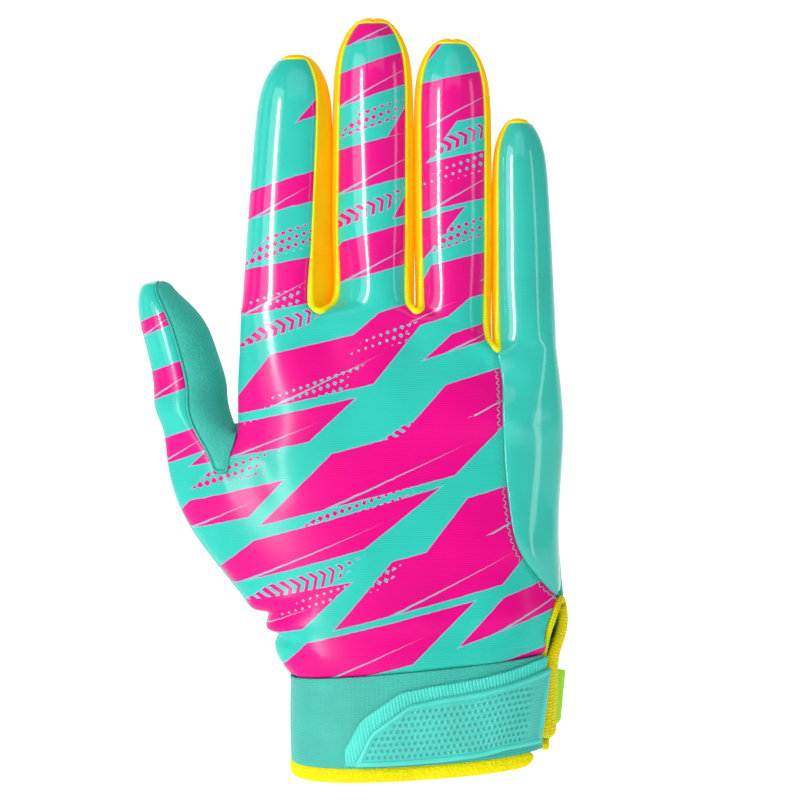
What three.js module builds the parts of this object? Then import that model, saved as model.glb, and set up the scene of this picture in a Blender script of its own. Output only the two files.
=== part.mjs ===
import * as THREE from 'three';

// Football receiver glove for the right hand, filled as it is when worn.
// Millimetres. +Z runs from the hem to the fingertips, +X to the little finger,
// and the back of the hand faces -Y. The origin is the middle of the hem.

// Lengths along the hand, from the hem
const palmHeight = 141;
const thumbCrotchHeight = 104.4;
const cuffTopHeight = 35.6;
const hemTopHeight = 10.2;
const hemHeight = 4.9;
const cuffTopTilt = 0.098;
const hemTilt = 0.068;
const hemDip = 0.085;

// Widths and depths of the hand
const palmWidth = 94.4;
const palmDepth = 38;
const fingerDepth = 20.5;
const thumbWidth = 22;
const thumbDepth = 21;

// Finger lengths, each from its own crotch to its tip
const indexLength = 77.5;
const middleLength = 88.6;
const ringLength = 82.5;
const littleLength = 68.3;
const thumbLength = 46.2;

// Cloth and trim
const wall = 1.2;
const cuffWall = 2;
const seamGap = 0.3;
const fingerGap = 0.6;
const crotchGap = 1.2;
const hemThickness = 3;
const bindingWidth = 2.4;
const bindingThickness = 2.4;
const bindingProud = 0.7;
const bindingTuck = 0.6;
const sewnWidth = 8;
const sewnWidthAbove = 5.4;
const hemSetback = 3;
const strapWall = 0.8;
const strapLift = 0.45;
const patchWall = 1.1;
const patchBevel = 0.6;
const ribBand = 3.5;
const strapLength = 59.4;
const strapHeight = 21.6;
const tabHeight = 17.6;
const tabLength = 9;
const tabWall = 1.2;
const tabFlare = 7.2;
const tabFlareLow = 5.4;
const tabDrop = 1.6;

// How square the wrist and palm sections are; 2 is an ellipse
const squareness = 2.4;

const smooth = (share) => THREE.MathUtils.smoothstep(share, 0, 1);
const mix = THREE.MathUtils.lerp;

// A point on the rounded outline of a section; the angle runs from +X to the back of the hand
function outlinePoint(angle, section) {
  const across = Math.cos(angle);
  const out = Math.sin(angle);
  const power = 2 / squareness;
  const depth = out > 0 ? section.front : section.rear;
  return new THREE.Vector3(
    section.middle + section.half * Math.sign(across) * Math.abs(across) ** power,
    -depth * Math.sign(out) * Math.abs(out) ** power,
    0,
  );
}

// The depth of a section's outline at a place across it, from -1 to 1
function outlineDepth(across) {
  const inside = Math.max(0, 1 - Math.abs(across) ** squareness);
  return inside ** (1 / squareness);
}

// Sections of the hand from the cuff to the thumb's crotch. Heights are shares of the way from
// the cuff to that crotch; left, thumbLine, seam and right are shares of the palm's width; leaf
// is the share from left to thumbLine; front, rear and thumbShift are shares of its depth.
const handRows = [
  { name: 'cuff', rise: 0, riseRight: 0, left: -0.41, thumbLine: -0.318, leaf: 0.5,
    seam: 0.387, right: 0.415, front: 0.53, rear: 0.575, thumbShift: 0 },
  { name: 'lower fold', rise: 0.09, riseRight: 0.06, left: -0.454, thumbLine: -0.328, leaf: 0.5,
    seam: 0.395, right: 0.441, front: 0.53, rear: 0.575, thumbShift: 0.01 },
  { name: 'lower groove', rise: 0.17, riseRight: 0.12, left: -0.472, thumbLine: -0.339, leaf: 0.5,
    seam: 0.402, right: 0.449, front: 0.52, rear: 0.57, thumbShift: 0.02 },
  { name: 'upper groove', rise: 0.24, riseRight: 0.19, left: -0.5, thumbLine: -0.36, leaf: 0.5,
    seam: 0.418, right: 0.455, front: 0.52, rear: 0.57, thumbShift: 0.04 },
  { name: 'slit top', rise: 0.34, riseRight: 0.255, left: -0.561, thumbLine: -0.407, leaf: 0.5,
    seam: 0.436, right: 0.452, front: 0.51, rear: 0.56, thumbShift: 0.08 },
  { name: 'thumb base', rise: 0.49, riseRight: 0.47, left: -0.65, thumbLine: -0.464, leaf: 0.5,
    seam: 0.318, right: 0.445, front: 0.5, rear: 0.56, thumbShift: 0.12 },
  { name: 'thumb ball', rise: 0.67, riseRight: 0.66, left: -0.747, thumbLine: -0.54, leaf: 0.55,
    seam: 0.283, right: 0.444, front: 0.48, rear: 0.55, thumbShift: 0.16 },
  { name: 'leaf tip', rise: 0.86, riseRight: 0.84, left: -0.799, thumbLine: -0.61, leaf: 0.8,
    seam: 0.267, right: 0.451, front: 0.46, rear: 0.5, thumbShift: 0.2 },
  { name: 'thumb crotch', rise: 1, riseRight: 1, left: -0.817, thumbLine: -0.585, leaf: 0.48,
    seam: 0.26, right: 0.456, front: 0.45, rear: 0.46, thumbShift: 0.22 },
];

// The wrist's outline is the lowest section's, and carries the cuff, hem and strap
const wrist = {
  middle: ((handRows[0].left + handRows[0].right) / 2) * palmWidth,
  half: ((handRows[0].right - handRows[0].left) / 2) * palmWidth,
  front: handRows[0].front * palmDepth,
  rear: handRows[0].rear * palmDepth,
};

function cuffTopAt(x) {
  return cuffTopHeight + cuffTopTilt * (x - wrist.middle);
}

function hemTopAt(x, y) {
  return hemTopHeight + hemTilt * (x - wrist.middle) + hemDip * y;
}

// Sections between the thumb's crotch and the finger crotches, in the same shares; toFingers is
// the share by which a section has taken the fingers' own depths.
const knuckleRows = [
  { name: 'palm middle', rise: 0.34, left: -0.578, thumbLine: -0.548, seam: 0.256, right: 0.453,
    front: 0.42, rear: 0.43, toFingers: 0 },
  { name: 'palm top', rise: 0.7, left: -0.572, thumbLine: -0.542, seam: 0.254, right: 0.443,
    front: 0.38, rear: 0.39, toFingers: 0.4 },
  { name: 'finger crotches', rise: 1, left: -0.567, thumbLine: -0.537, seam: 0.238, right: 0.432,
    front: 0.33, rear: 0.34, toFingers: 0.85 },
];

// The lines between the fingers: where each starts and ends across the palm, as shares of the
// palm's width, where its crotch lies on the back of the hand, and how far the crotch is below
// the middle finger's, as a share of the palm's height.
const lanes = [
  { name: 'thumb side', base: -0.567, tip: -0.51, crotch: -0.537, drop: 0 },
  { name: 'index to middle', base: -0.273, tip: -0.276, crotch: -0.315, drop: 0 },
  { name: 'middle to ring', base: -0.016, tip: -0.022, crotch: -0.016, drop: 0 },
  { name: 'ring to little', base: 0.227, tip: 0.226, crotch: 0.238, drop: 0.082 },
  { name: 'little side', base: 0.432, tip: 0.396, crotch: 0.401, drop: 0.07 },
];

// Each finger fills the lane between two lines. The seams are angles from its sides toward its
// back, at the base and at the tip; curl is how far the tip leans to the palm, as a share of the
// finger's length; depth is a share of fingerDepth.
const fingers = [
  { name: 'index', lane: 0, length: indexLength, depth: 1, curl: 0.07,
    leftSeam: [45, 45], rightSeam: [62, 46] },
  { name: 'middle', lane: 1, length: middleLength, depth: 1.02, curl: 0.08,
    leftSeam: [22, 28], rightSeam: [40, 28] },
  { name: 'ring', lane: 2, length: ringLength, depth: 0.98, curl: 0.085,
    leftSeam: [35, 27], rightSeam: [37, 26] },
  { name: 'little', lane: 3, length: littleLength, depth: 0.86, curl: 0.08,
    leftSeam: [35, 32], rightSeam: [35, 30] },
];

// Sections along a finger, as shares of its length, width and depth
const fingerRows = [
  { name: 'base', rise: 0.06, width: 1, depth: 1.06 },
  { name: 'first joint', rise: 0.24, width: 1, depth: 1.02 },
  { name: 'middle', rise: 0.45, width: 1, depth: 0.97 },
  { name: 'second joint', rise: 0.65, width: 0.99, depth: 0.92 },
  { name: 'nail', rise: 0.82, width: 0.94, depth: 0.84 },
  { name: 'tip shoulder', rise: 0.92, width: 0.75, depth: 0.68 },
  { name: 'tip edge', rise: 0.98, width: 0.44, depth: 0.42 },
];

// Sections along the thumb: rise is a share of its length, lean of its length toward -X,
// width and depth of its own, and forward of its length toward the palm.
const thumbRows = [
  { name: 'base', rise: 0.17, lean: 0.06, width: 0.97, depth: 1.1, forward: 0.2 },
  { name: 'joint', rise: 0.33, lean: 0.072, width: 0.965, depth: 1, forward: 0.23 },
  { name: 'middle', rise: 0.54, lean: 0.125, width: 0.945, depth: 0.98, forward: 0.26 },
  { name: 'pad', rise: 0.71, lean: 0.18, width: 0.9, depth: 0.93, forward: 0.29 },
  { name: 'tip slope', rise: 0.84, lean: 0.24, width: 0.73, depth: 0.8, forward: 0.31 },
  { name: 'tip shoulder', rise: 0.925, lean: 0.28, width: 0.52, depth: 0.6, forward: 0.32 },
  { name: 'tip edge', rise: 0.975, lean: 0.287, width: 0.36, depth: 0.42, forward: 0.325 },
];
const thumbRoot = -0.707 * palmWidth;
const thumbTipLean = 0.274;

// Dents and swellings of the filled glove. Places are shares of the palm's width and height,
// sizes and heights are shares of the palm's depth, and side is -1 for the back of the hand.
const swellings = [
  { name: 'thumb ball', side: 1, x: -0.42, z: 0.52, wide: 0.45, tall: 0.6, height: 0.09 },
  { name: 'hollow of the palm', side: 1, x: 0, z: 0.6, wide: 0.5, tall: 0.7, height: -0.08 },
  { name: 'little finger ball', side: 1, x: 0.3, z: 0.5, wide: 0.35, tall: 0.7, height: 0.05 },
  { name: 'index knuckle', side: -1, x: -0.42, z: 0.93, wide: 0.2, tall: 0.35, height: 0.03 },
  { name: 'middle knuckle', side: -1, x: -0.14, z: 0.95, wide: 0.2, tall: 0.35, height: 0.035 },
  { name: 'ring knuckle', side: -1, x: 0.12, z: 0.93, wide: 0.2, tall: 0.35, height: 0.03 },
  { name: 'little knuckle', side: -1, x: 0.34, z: 0.87, wide: 0.18, tall: 0.3, height: 0.025 },
];

// Creases where the cloth bunches above the cuff on the thumb side, from their deep end at the
// edge to where they fade; x and z are shares of the palm's width and height.
const creases = [
  { name: 'upper crease', from: [-0.5, 0.345], to: [-0.37, 0.37], width: 0.06, depth: 0.04 },
  { name: 'lower crease', from: [-0.47, 0.31], to: [-0.38, 0.305], width: 0.06, depth: 0.032 },
];

// The strap's outline from its tip to its sewn end: reach is a share of the strap's length,
// bottom and top are shares of its height above the hem.
const strapRows = [
  { name: 'tip', reach: 0, bottom: 0, top: 0.06 },
  { name: 'tip slope', reach: 0.073, bottom: 0, top: 0.47 },
  { name: 'shoulder', reach: 0.265, bottom: 0, top: 0.835 },
  { name: 'front', reach: 0.44, bottom: 0.01, top: 0.9 },
  { name: 'middle', reach: 0.62, bottom: 0.03, top: 0.94 },
  { name: 'side', reach: 0.76, bottom: 0.07, top: 0.993 },
  { name: 'turn', reach: 0.9, bottom: 0.07, top: 1.065 },
  { name: 'sewn end', reach: 1, bottom: 0.07, top: 1.09 },
];

// The cage: a net of four-sided faces through which the glove's smooth surface is fitted
const cage = { points: [], faces: [], names: new Map() };

function place(name, point) {
  if (!cage.names.has(name)) {
    cage.names.set(name, cage.points.length);
    cage.points.push(point);
  }
  return cage.names.get(name);
}

function known(name) {
  return cage.names.get(name);
}

// Column lines run from -2 at the thumb's outer side, over 0 at its crotch, to 8 at the little
// finger's outer side. Every second line from 0 on is a crotch between two fingers.
const lastColumn = 8;

// How far the lines beside the hand's edges stay from them, as a share of the palm's width
const edgeShare = 0.022;

function columnPlaces(row) {
  const left = row.left * palmWidth;
  const right = row.right * palmWidth;
  const thumbLine = row.thumbLine * palmWidth;
  const seam = row.seam * palmWidth;
  const shoulder = edgeShare * palmWidth;
  const places = new Map();
  if (row.leaf !== undefined) {
    places.set(-2, left + shoulder);
    places.set(-1, mix(left, thumbLine, row.leaf));
  }
  for (let column = 0; column <= 6; column += 1) {
    places.set(column, mix(thumbLine, seam, column / 6));
  }
  const edge = right - Math.min(shoulder, (right - seam) / 3);
  places.set(7, (seam + edge) / 2);
  places.set(8, edge);
  return places;
}

// A row's points as a section of the palm, with its thumb side moved toward the palm
function palmPoint(row, side, x, z) {
  const left = row.left * palmWidth;
  const right = row.right * palmWidth;
  const across = (x - (left + right) / 2) / ((right - left) / 2);
  const shift = (row.thumbShift ?? 0) * palmDepth * smooth(-across);
  const depth = side === 'front' ? -row.front : row.rear;
  return new THREE.Vector3(x, shift + depth * palmDepth * outlineDepth(across), z);
}

function handRowHeight(row, x) {
  const low = cuffTopAt(x) + seamGap;
  const across = THREE.MathUtils.clamp(0.5 + x / palmWidth, 0, 1);
  return mix(low, thumbCrotchHeight, mix(row.rise, row.riseRight, across));
}

// How much thinner the hand is at the web between thumb and index finger, and how far toward the
// palm the web's middle lies, as a share of the palm's depth
const webPinch = 0.55;
const webShift = 0.06;
const slitTopRow = handRows.findIndex((row) => row.name === 'slit top');
const crotchRow = handRows.length - 1;

function addHandRow(row, index) {
  const key = `hand${index}`;
  const places = columnPlaces(row);
  const open = index < slitTopRow;
  const rearStart = row.thumbLine * palmWidth;
  const rearEnd = places.get(lastColumn);
  places.forEach((x, column) => {
    if (!(open && column > 6)) {
      const point = palmPoint(row, 'front', x, handRowHeight(row, x));
      if (index === crotchRow && column === 0) {
        point.y *= webPinch;
      }
      place(`${key}front${column}`, point);
    }
    const spread = column > 0 ? mix(rearStart, rearEnd, column / lastColumn) : x;
    const rearX = mix(spread, x, row.rise);
    const rear = palmPoint(row, 'rear', rearX, handRowHeight(row, rearX));
    if (index === crotchRow && column === 0) {
      rear.y *= webPinch;
    }
    place(`${key}rear${column}`, rear);
  });
  const left = row.left * palmWidth;
  const right = row.right * palmWidth;
  const shift = row.thumbShift * palmDepth;
  place(`${key}mid-2`, new THREE.Vector3(left, shift, handRowHeight(row, left)));
  place(`${key}mid8`, new THREE.Vector3(right, 0, handRowHeight(row, right)));
}

handRows.forEach(addHandRow);

// The web's middle point, where the thumb and the hand part
place(`hand${crotchRow}mid0`, new THREE.Vector3(
  handRows[crotchRow].thumbLine * palmWidth,
  webShift * palmDepth,
  thumbCrotchHeight,
));

function crotchHeight(lane) {
  return palmHeight * (1 - lanes[lane].drop);
}

function knuckleHeight(column) {
  const lane = column / 2;
  return mix(crotchHeight(Math.floor(lane)), crotchHeight(Math.ceil(lane)), 0.5);
}

// The webs between fingers lie deeper than the fingers' backs and rise toward the palm
const crotchFront = 0.27;
const crotchRear = 0.3;
const crotchRise = 0.02;

// The finger that a column line runs into, where its crotch doesn't
function fingerAt(column) {
  return fingers[Math.min(fingers.length - 1, Math.floor(column / 2))];
}

// How far a finger's back stands out at a column line, as a point on its base section
function fingerOut(column) {
  const outer = column % 2 === 0 ? Math.SQRT1_2 : 1;
  return (fingerAt(column).depth * fingerRows[0].depth * fingerDepth * outer) / 2;
}

function addKnuckleRow(row, index) {
  const key = `knuckle${index}`;
  const places = columnPlaces(row);
  const last = index === knuckleRows.length - 1;
  places.forEach((x, column) => {
    const z = mix(thumbCrotchHeight, knuckleHeight(column), row.rise);
    const between = last && column % 2 === 0 && column > 0 && column < lastColumn;
    const front = palmPoint(row, 'front', x, z);
    const rear = palmPoint(row, 'rear', x, z);
    if (between) {
      const crotch = lanes[column / 2];
      const laneX = crotch.base * palmWidth;
      front.set(crotch.crotch * palmWidth, -crotchFront * palmDepth, z);
      rear.set(laneX, crotchRear * palmDepth, z + crotchRise * palmHeight);
      place(`${key}mid${column}`, new THREE.Vector3((front.x + laneX) / 2, 0, z));
    } else {
      front.y = mix(front.y, -fingerOut(column), row.toFingers);
      rear.y = mix(rear.y, fingerOut(column), row.toFingers);
    }
    place(`${key}front${column}`, front);
    place(`${key}rear${column}`, rear);
  });
  const left = mix(thumbCrotchHeight, knuckleHeight(0), row.rise);
  const right = mix(thumbCrotchHeight, knuckleHeight(lastColumn), row.rise);
  place(`${key}mid0`, new THREE.Vector3(row.left * palmWidth, 0, left));
  place(`${key}mid8`, new THREE.Vector3(row.right * palmWidth, 0, right));
}

knuckleRows.forEach(addKnuckleRow);
const knuckleKey = `knuckle${knuckleRows.length - 1}`;

// The angles of a finger's two points on the palm side, from its right side
const palmAngles = [-138, -42];

// The eight points round a finger or thumb, from its left seam over its back
function addFingerRing(key, first, ring) {
  const centre = ring.left.clone().add(ring.right).multiplyScalar(0.5);
  const half = ring.right.clone().sub(ring.left).multiplyScalar(0.5);
  const around = (name, angle) => {
    const radians = THREE.MathUtils.degToRad(angle);
    const point = centre.clone().addScaledVector(half, Math.cos(radians));
    point.y -= ring.halfDepth * Math.sin(radians);
    place(`${key}${name}`, point);
  };
  around(`front${first}`, 180 - ring.leftSeam);
  around(`front${first + 1}`, 90);
  around(`front${first + 2}`, ring.rightSeam);
  around(`mid${first + 2}`, 0);
  around(`rear${first + 2}`, palmAngles[1]);
  around(`rear${first + 1}`, -90);
  around(`rear${first}`, palmAngles[0]);
  around(`mid${first}`, 180);
}

function laneEdge(lane, rise, inward) {
  const line = lanes[lane];
  const outer = lane === 0 || lane === lanes.length - 1;
  const nearCrotch = Math.max(0, 1 - rise / fingerRows[1].rise);
  const clear = outer ? 0 : mix(fingerGap, crotchGap, nearCrotch) / 2;
  return mix(line.base, line.tip, rise) * palmWidth + inward * clear;
}

function addFinger(finger) {
  const first = 2 * finger.lane;
  const tipHeight = Math.max(crotchHeight(finger.lane), crotchHeight(finger.lane + 1));
  const tip = tipHeight + finger.length;
  const curl = finger.curl * finger.length;
  fingerRows.forEach((row, index) => {
    const leftX = laneEdge(finger.lane, row.rise, 1);
    const rightX = laneEdge(finger.lane + 1, row.rise, -1);
    const middle = (leftX + rightX) / 2;
    const half = ((rightX - leftX) / 2) * row.width;
    const y = curl * row.rise ** 2;
    const leftZ = mix(crotchHeight(finger.lane), tip, row.rise);
    const rightZ = mix(crotchHeight(finger.lane + 1), tip, row.rise);
    addFingerRing(`${finger.name}${index}`, first, {
      left: new THREE.Vector3(middle - half, y, leftZ),
      right: new THREE.Vector3(middle + half, y, rightZ),
      halfDepth: (finger.depth * row.depth * fingerDepth) / 2,
      leftSeam: mix(finger.leftSeam[0], finger.leftSeam[1], row.rise),
      rightSeam: mix(finger.rightSeam[0], finger.rightSeam[1], row.rise),
    });
  });
  const tipX = (laneEdge(finger.lane, 1, 1) + laneEdge(finger.lane + 1, 1, -1)) / 2;
  place(`${finger.name}tip`, new THREE.Vector3(tipX, curl, tip));
}

fingers.forEach(addFinger);

thumbRows.forEach((row, index) => {
  const middle = thumbRoot - row.lean * thumbLength;
  const half = (row.width * thumbWidth) / 2;
  const y = row.forward * thumbLength;
  const z = thumbCrotchHeight + row.rise * thumbLength;
  addFingerRing(`thumb${index}`, -2, {
    left: new THREE.Vector3(middle - half, y, z),
    right: new THREE.Vector3(middle + half, y, z),
    halfDepth: (row.depth * thumbDepth) / 2,
    leftSeam: 45,
    rightSeam: 45,
  });
});
place('thumbtip', new THREE.Vector3(
  thumbRoot - thumbTipLean * thumbLength,
  thumbRows.at(-1).forward * thumbLength,
  thumbCrotchHeight + thumbLength,
));

function addFace(names, panel) {
  cage.faces.push({ corners: names.map(known), panel });
}

// The names of the points round a tube between two column lines, from its left seam over its
// back, as [side, column] pairs
function tubeRing(first, last) {
  const ring = [];
  for (let column = first; column <= last; column += 1) {
    ring.push(['front', column]);
  }
  ring.push(['mid', last]);
  for (let column = last; column >= first; column -= 1) {
    ring.push(['rear', column]);
  }
  ring.push(['mid', first]);
  return ring;
}

function addTube(keys, first, last, panelOf) {
  const ring = tubeRing(first, last);
  for (let level = 0; level < keys.length - 1; level += 1) {
    for (let step = 0; step < ring.length; step += 1) {
      const [sideA, columnA] = ring[step];
      const [sideB, columnB] = ring[(step + 1) % ring.length];
      const panel = panelOf(sideA, columnA, sideB, columnB, level);
      if (panel) {
        addFace([
          `${keys[level]}${sideA}${columnA}`,
          `${keys[level]}${sideB}${columnB}`,
          `${keys[level + 1]}${sideB}${columnB}`,
          `${keys[level + 1]}${sideA}${columnA}`,
        ], panel);
      }
    }
  }
}

const gussets = ['', 'gusset_index_middle', 'gusset_middle_ring', 'gusset_ring_little', ''];

// The cloth panel that a face of the hand belongs to
function handPanel(sideA, columnA, sideB, columnB) {
  if (sideA === 'rear' || sideB === 'rear') {
    return 'palm_panel';
  }
  return Math.min(columnA, columnB) >= 6 ? 'little_finger_panel' : 'back_panel';
}

function handRowPanel(sideA, columnA, sideB, columnB, level) {
  const low = Math.min(columnA, columnB);
  const back = sideA !== 'rear' && sideB !== 'rear';
  if (back && low >= 6 && level < slitTopRow) {
    return null;
  }
  const leaf = level === crotchRow - 1 && sideA === 'front' && columnA === -1;
  return leaf ? 'thumb_inner_panel' : handPanel(sideA, columnA, sideB, columnB);
}

function thumbPanel(sideA, columnA, sideB, columnB) {
  if (columnA + columnB === 0 || (sideA === 'front' && columnA === -1)) {
    return 'thumb_inner_panel';
  }
  return handPanel(sideA, columnA, sideB, columnB);
}

addTube(handRows.map((row, index) => `hand${index}`), -2, lastColumn, handRowPanel);
addTube(
  [`hand${crotchRow}`, ...knuckleRows.map((row, index) => `knuckle${index}`)],
  0,
  lastColumn,
  handPanel,
);

// The four faces that close a tip, as the panels of its left and right, back and palm halves
function addTip(key, top, first, panels) {
  const ring = (side, column) => `${top}${side}${first + column}`;
  const tip = `${key}tip`;
  addFace([ring('front', 0), ring('front', 1), tip, ring('mid', 0)], panels.leftBack);
  addFace([ring('front', 1), ring('front', 2), ring('mid', 2), tip], panels.rightBack);
  addFace([tip, ring('mid', 2), ring('rear', 2), ring('rear', 1)], panels.rightPalm);
  addFace([ring('mid', 0), tip, ring('rear', 1), ring('rear', 0)], panels.leftPalm);
}

fingers.forEach((finger) => {
  const first = 2 * finger.lane;
  const left = gussets[finger.lane] || gussets[finger.lane + 1];
  const right = gussets[finger.lane + 1] || gussets[finger.lane];
  const levels = [knuckleKey, ...fingerRows.map((row, index) => `${finger.name}${index}`)];
  addTube(levels, first, first + 2, (sideA, columnA, sideB, columnB) => {
    const onSide = columnA === columnB;
    const gusset = onSide ? gussets[columnA / 2] : '';
    return gusset || handPanel(sideA, columnA, sideB, columnB);
  });
  addTip(finger.name, levels.at(-1), first, {
    leftBack: left,
    rightBack: right,
    rightPalm: right,
    leftPalm: left,
  });
});

const thumbLevels = [`hand${crotchRow}`, ...thumbRows.map((row, index) => `thumb${index}`)];
addTube(thumbLevels, -2, 0, thumbPanel);
addTip('thumb', thumbLevels.at(-1), -2, {
  leftBack: 'back_panel',
  rightBack: 'thumb_inner_panel',
  rightPalm: 'thumb_inner_panel',
  leftPalm: 'palm_panel',
});

// The edges of a net of faces, each with the faces that share it
function edgesOf(mesh) {
  const edges = new Map();
  mesh.faces.forEach((face, index) => {
    face.corners.forEach((from, step) => {
      const to = face.corners[(step + 1) % 4];
      const key = from < to ? `${from}_${to}` : `${to}_${from}`;
      const edge = edges.get(key) ?? { ends: [from, to], faces: [] };
      edge.faces.push(index);
      edges.set(key, edge);
    });
  });
  return edges;
}

// For each point: the points one edge away, those across a face, and those along an open edge
function neighboursOf(mesh) {
  const around = mesh.points.map(() => ({ near: new Set(), across: [], rim: [] }));
  mesh.faces.forEach((face) => {
    face.corners.forEach((corner, step) => {
      around[corner].across.push(face.corners[(step + 2) % 4]);
      around[corner].near.add(face.corners[(step + 1) % 4]);
      around[corner].near.add(face.corners[(step + 3) % 4]);
    });
  });
  edgesOf(mesh).forEach((edge) => {
    if (edge.faces.length === 1) {
      const [from, to] = edge.ends;
      around[from].rim.push(to);
      around[to].rim.push(from);
    }
  });
  return around;
}

function sumOf(mesh, indices) {
  const total = new THREE.Vector3();
  indices.forEach((index) => total.add(mesh.points[index]));
  return total;
}

// Where each point of the net comes to lie on the smooth surface
function smoothPlaces(mesh) {
  return neighboursOf(mesh).map((around, index) => {
    const point = mesh.points[index];
    if (around.rim.length > 0) {
      return sumOf(mesh, around.rim).addScaledVector(point, 4).divideScalar(6);
    }
    const count = around.near.size;
    return sumOf(mesh, around.near)
      .multiplyScalar(4)
      .add(sumOf(mesh, around.across))
      .addScaledVector(point, count * count)
      .divideScalar(count * (count + 5));
  });
}

// Moves the net out until the smooth surface passes through the points it started from
function fitThroughPoints(mesh, rounds) {
  const targets = mesh.points.map((point) => point.clone());
  for (let round = 0; round < rounds; round += 1) {
    const places = smoothPlaces(mesh);
    mesh.points.forEach((point, index) => point.add(targets[index]).sub(places[index]));
  }
}

// One step of Catmull-Clark subdivision
function subdivide(mesh) {
  const edges = edgesOf(mesh);
  const around = neighboursOf(mesh);
  const facePoints = mesh.faces.map((face) => sumOf(mesh, face.corners).divideScalar(4));
  const points = around.map((places, index) => {
    const point = mesh.points[index];
    if (places.rim.length > 0) {
      return sumOf(mesh, places.rim).addScaledVector(point, 6).divideScalar(8);
    }
    const count = places.near.size;
    const weight = 1 / (4 * count);
    return sumOf(mesh, places.near)
      .multiplyScalar(6 * weight / count)
      .addScaledVector(sumOf(mesh, places.across), weight / count)
      .addScaledVector(point, 1 - 7 * weight);
  });
  facePoints.forEach((point) => points.push(point));
  const firstFacePoint = mesh.points.length;
  const edgePoints = new Map();
  edges.forEach((edge, key) => {
    const middle = sumOf(mesh, edge.ends).divideScalar(2);
    if (edge.faces.length === 2) {
      const sides = facePoints[edge.faces[0]].clone().add(facePoints[edge.faces[1]]);
      middle.multiplyScalar(2).add(sides).divideScalar(4);
    }
    edgePoints.set(key, points.length);
    points.push(middle);
  });
  const edgePoint = (from, to) => edgePoints.get(from < to ? `${from}_${to}` : `${to}_${from}`);
  const faces = [];
  mesh.faces.forEach((face, index) => {
    face.corners.forEach((corner, step) => {
      const next = face.corners[(step + 1) % 4];
      const before = face.corners[(step + 3) % 4];
      faces.push({
        corners: [corner, edgePoint(corner, next), firstFacePoint + index, edgePoint(before, corner)],
        panel: face.panel,
      });
    });
  });
  return { points, faces };
}

// The outward direction at each point, as the mean of the faces round it
function normalsOf(mesh) {
  const normals = mesh.points.map(() => new THREE.Vector3());
  mesh.faces.forEach((face) => {
    const [a, b, c, d] = face.corners.map((corner) => mesh.points[corner]);
    const normal = c.clone().sub(a).cross(d.clone().sub(b));
    face.corners.forEach((corner) => normals[corner].add(normal));
  });
  return normals.map((normal) => normal.normalize());
}

function bell(distance) {
  return Math.exp(-distance * distance);
}

function swellingAt(point) {
  return swellings.reduce((total, bump) => {
    const side = Math.sign(point.y) === bump.side ? 1 : 0;
    const x = (point.x - bump.x * palmWidth) / (bump.wide * palmDepth * 2);
    const z = (point.z - bump.z * palmHeight) / (bump.tall * palmDepth * 2);
    const inward = smooth(Math.abs(point.y) / (0.3 * palmDepth));
    return total + side * inward * bump.height * palmDepth * bell(Math.hypot(x, z));
  }, 0);
}

function creaseAt(point) {
  return creases.reduce((total, crease) => {
    const from = new THREE.Vector2(crease.from[0] * palmWidth, crease.from[1] * palmHeight);
    const to = new THREE.Vector2(crease.to[0] * palmWidth, crease.to[1] * palmHeight);
    const along = to.clone().sub(from);
    const offset = new THREE.Vector2(point.x, point.z).sub(from);
    const share = offset.dot(along) / along.lengthSq();
    const nearest = from.addScaledVector(along, THREE.MathUtils.clamp(share, 0, 1));
    const distance = nearest.distanceTo(new THREE.Vector2(point.x, point.z));
    const fade = 1 - 0.8 * THREE.MathUtils.clamp(share, 0, 1);
    return total - fade * crease.depth * palmDepth * bell(distance / (crease.width * palmDepth));
  }, 0);
}

const fitRounds = 8;
fitThroughPoints(cage, fitRounds);
const shell = subdivide(cage);
shell.points = smoothPlaces(shell);
normalsOf(shell).forEach((normal, index) => {
  const point = shell.points[index];
  point.addScaledVector(normal, swellingAt(point) + creaseAt(point));
});

// The border of a panel: for each border point, the way along the cloth into the panel
function bordersOf(mesh, faces) {
  const pulls = new Map();
  const rims = [];
  edgesOf({ faces }).forEach((edge) => {
    if (edge.faces.length > 1) {
      return;
    }
    const [from, to] = edge.ends;
    const face = faces[edge.faces[0]].corners.map((corner) => mesh.points[corner]);
    const normal = face[2].clone().sub(face[0]).cross(face[3].clone().sub(face[1]));
    const along = mesh.points[to].clone().sub(mesh.points[from]);
    const inward = normal.cross(along).normalize();
    rims.push([from, to]);
    [from, to].forEach((end) => {
      const pull = pulls.get(end) ?? [];
      pull.push(inward);
      pulls.set(end, pull);
    });
  });
  return { pulls, rims };
}

// How far a panel's corner may be drawn in, for each millimetre that its sides are, and how much
// further its inside is drawn in than its outside
const sharpestMitre = 2;
const skive = 0.5;

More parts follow.
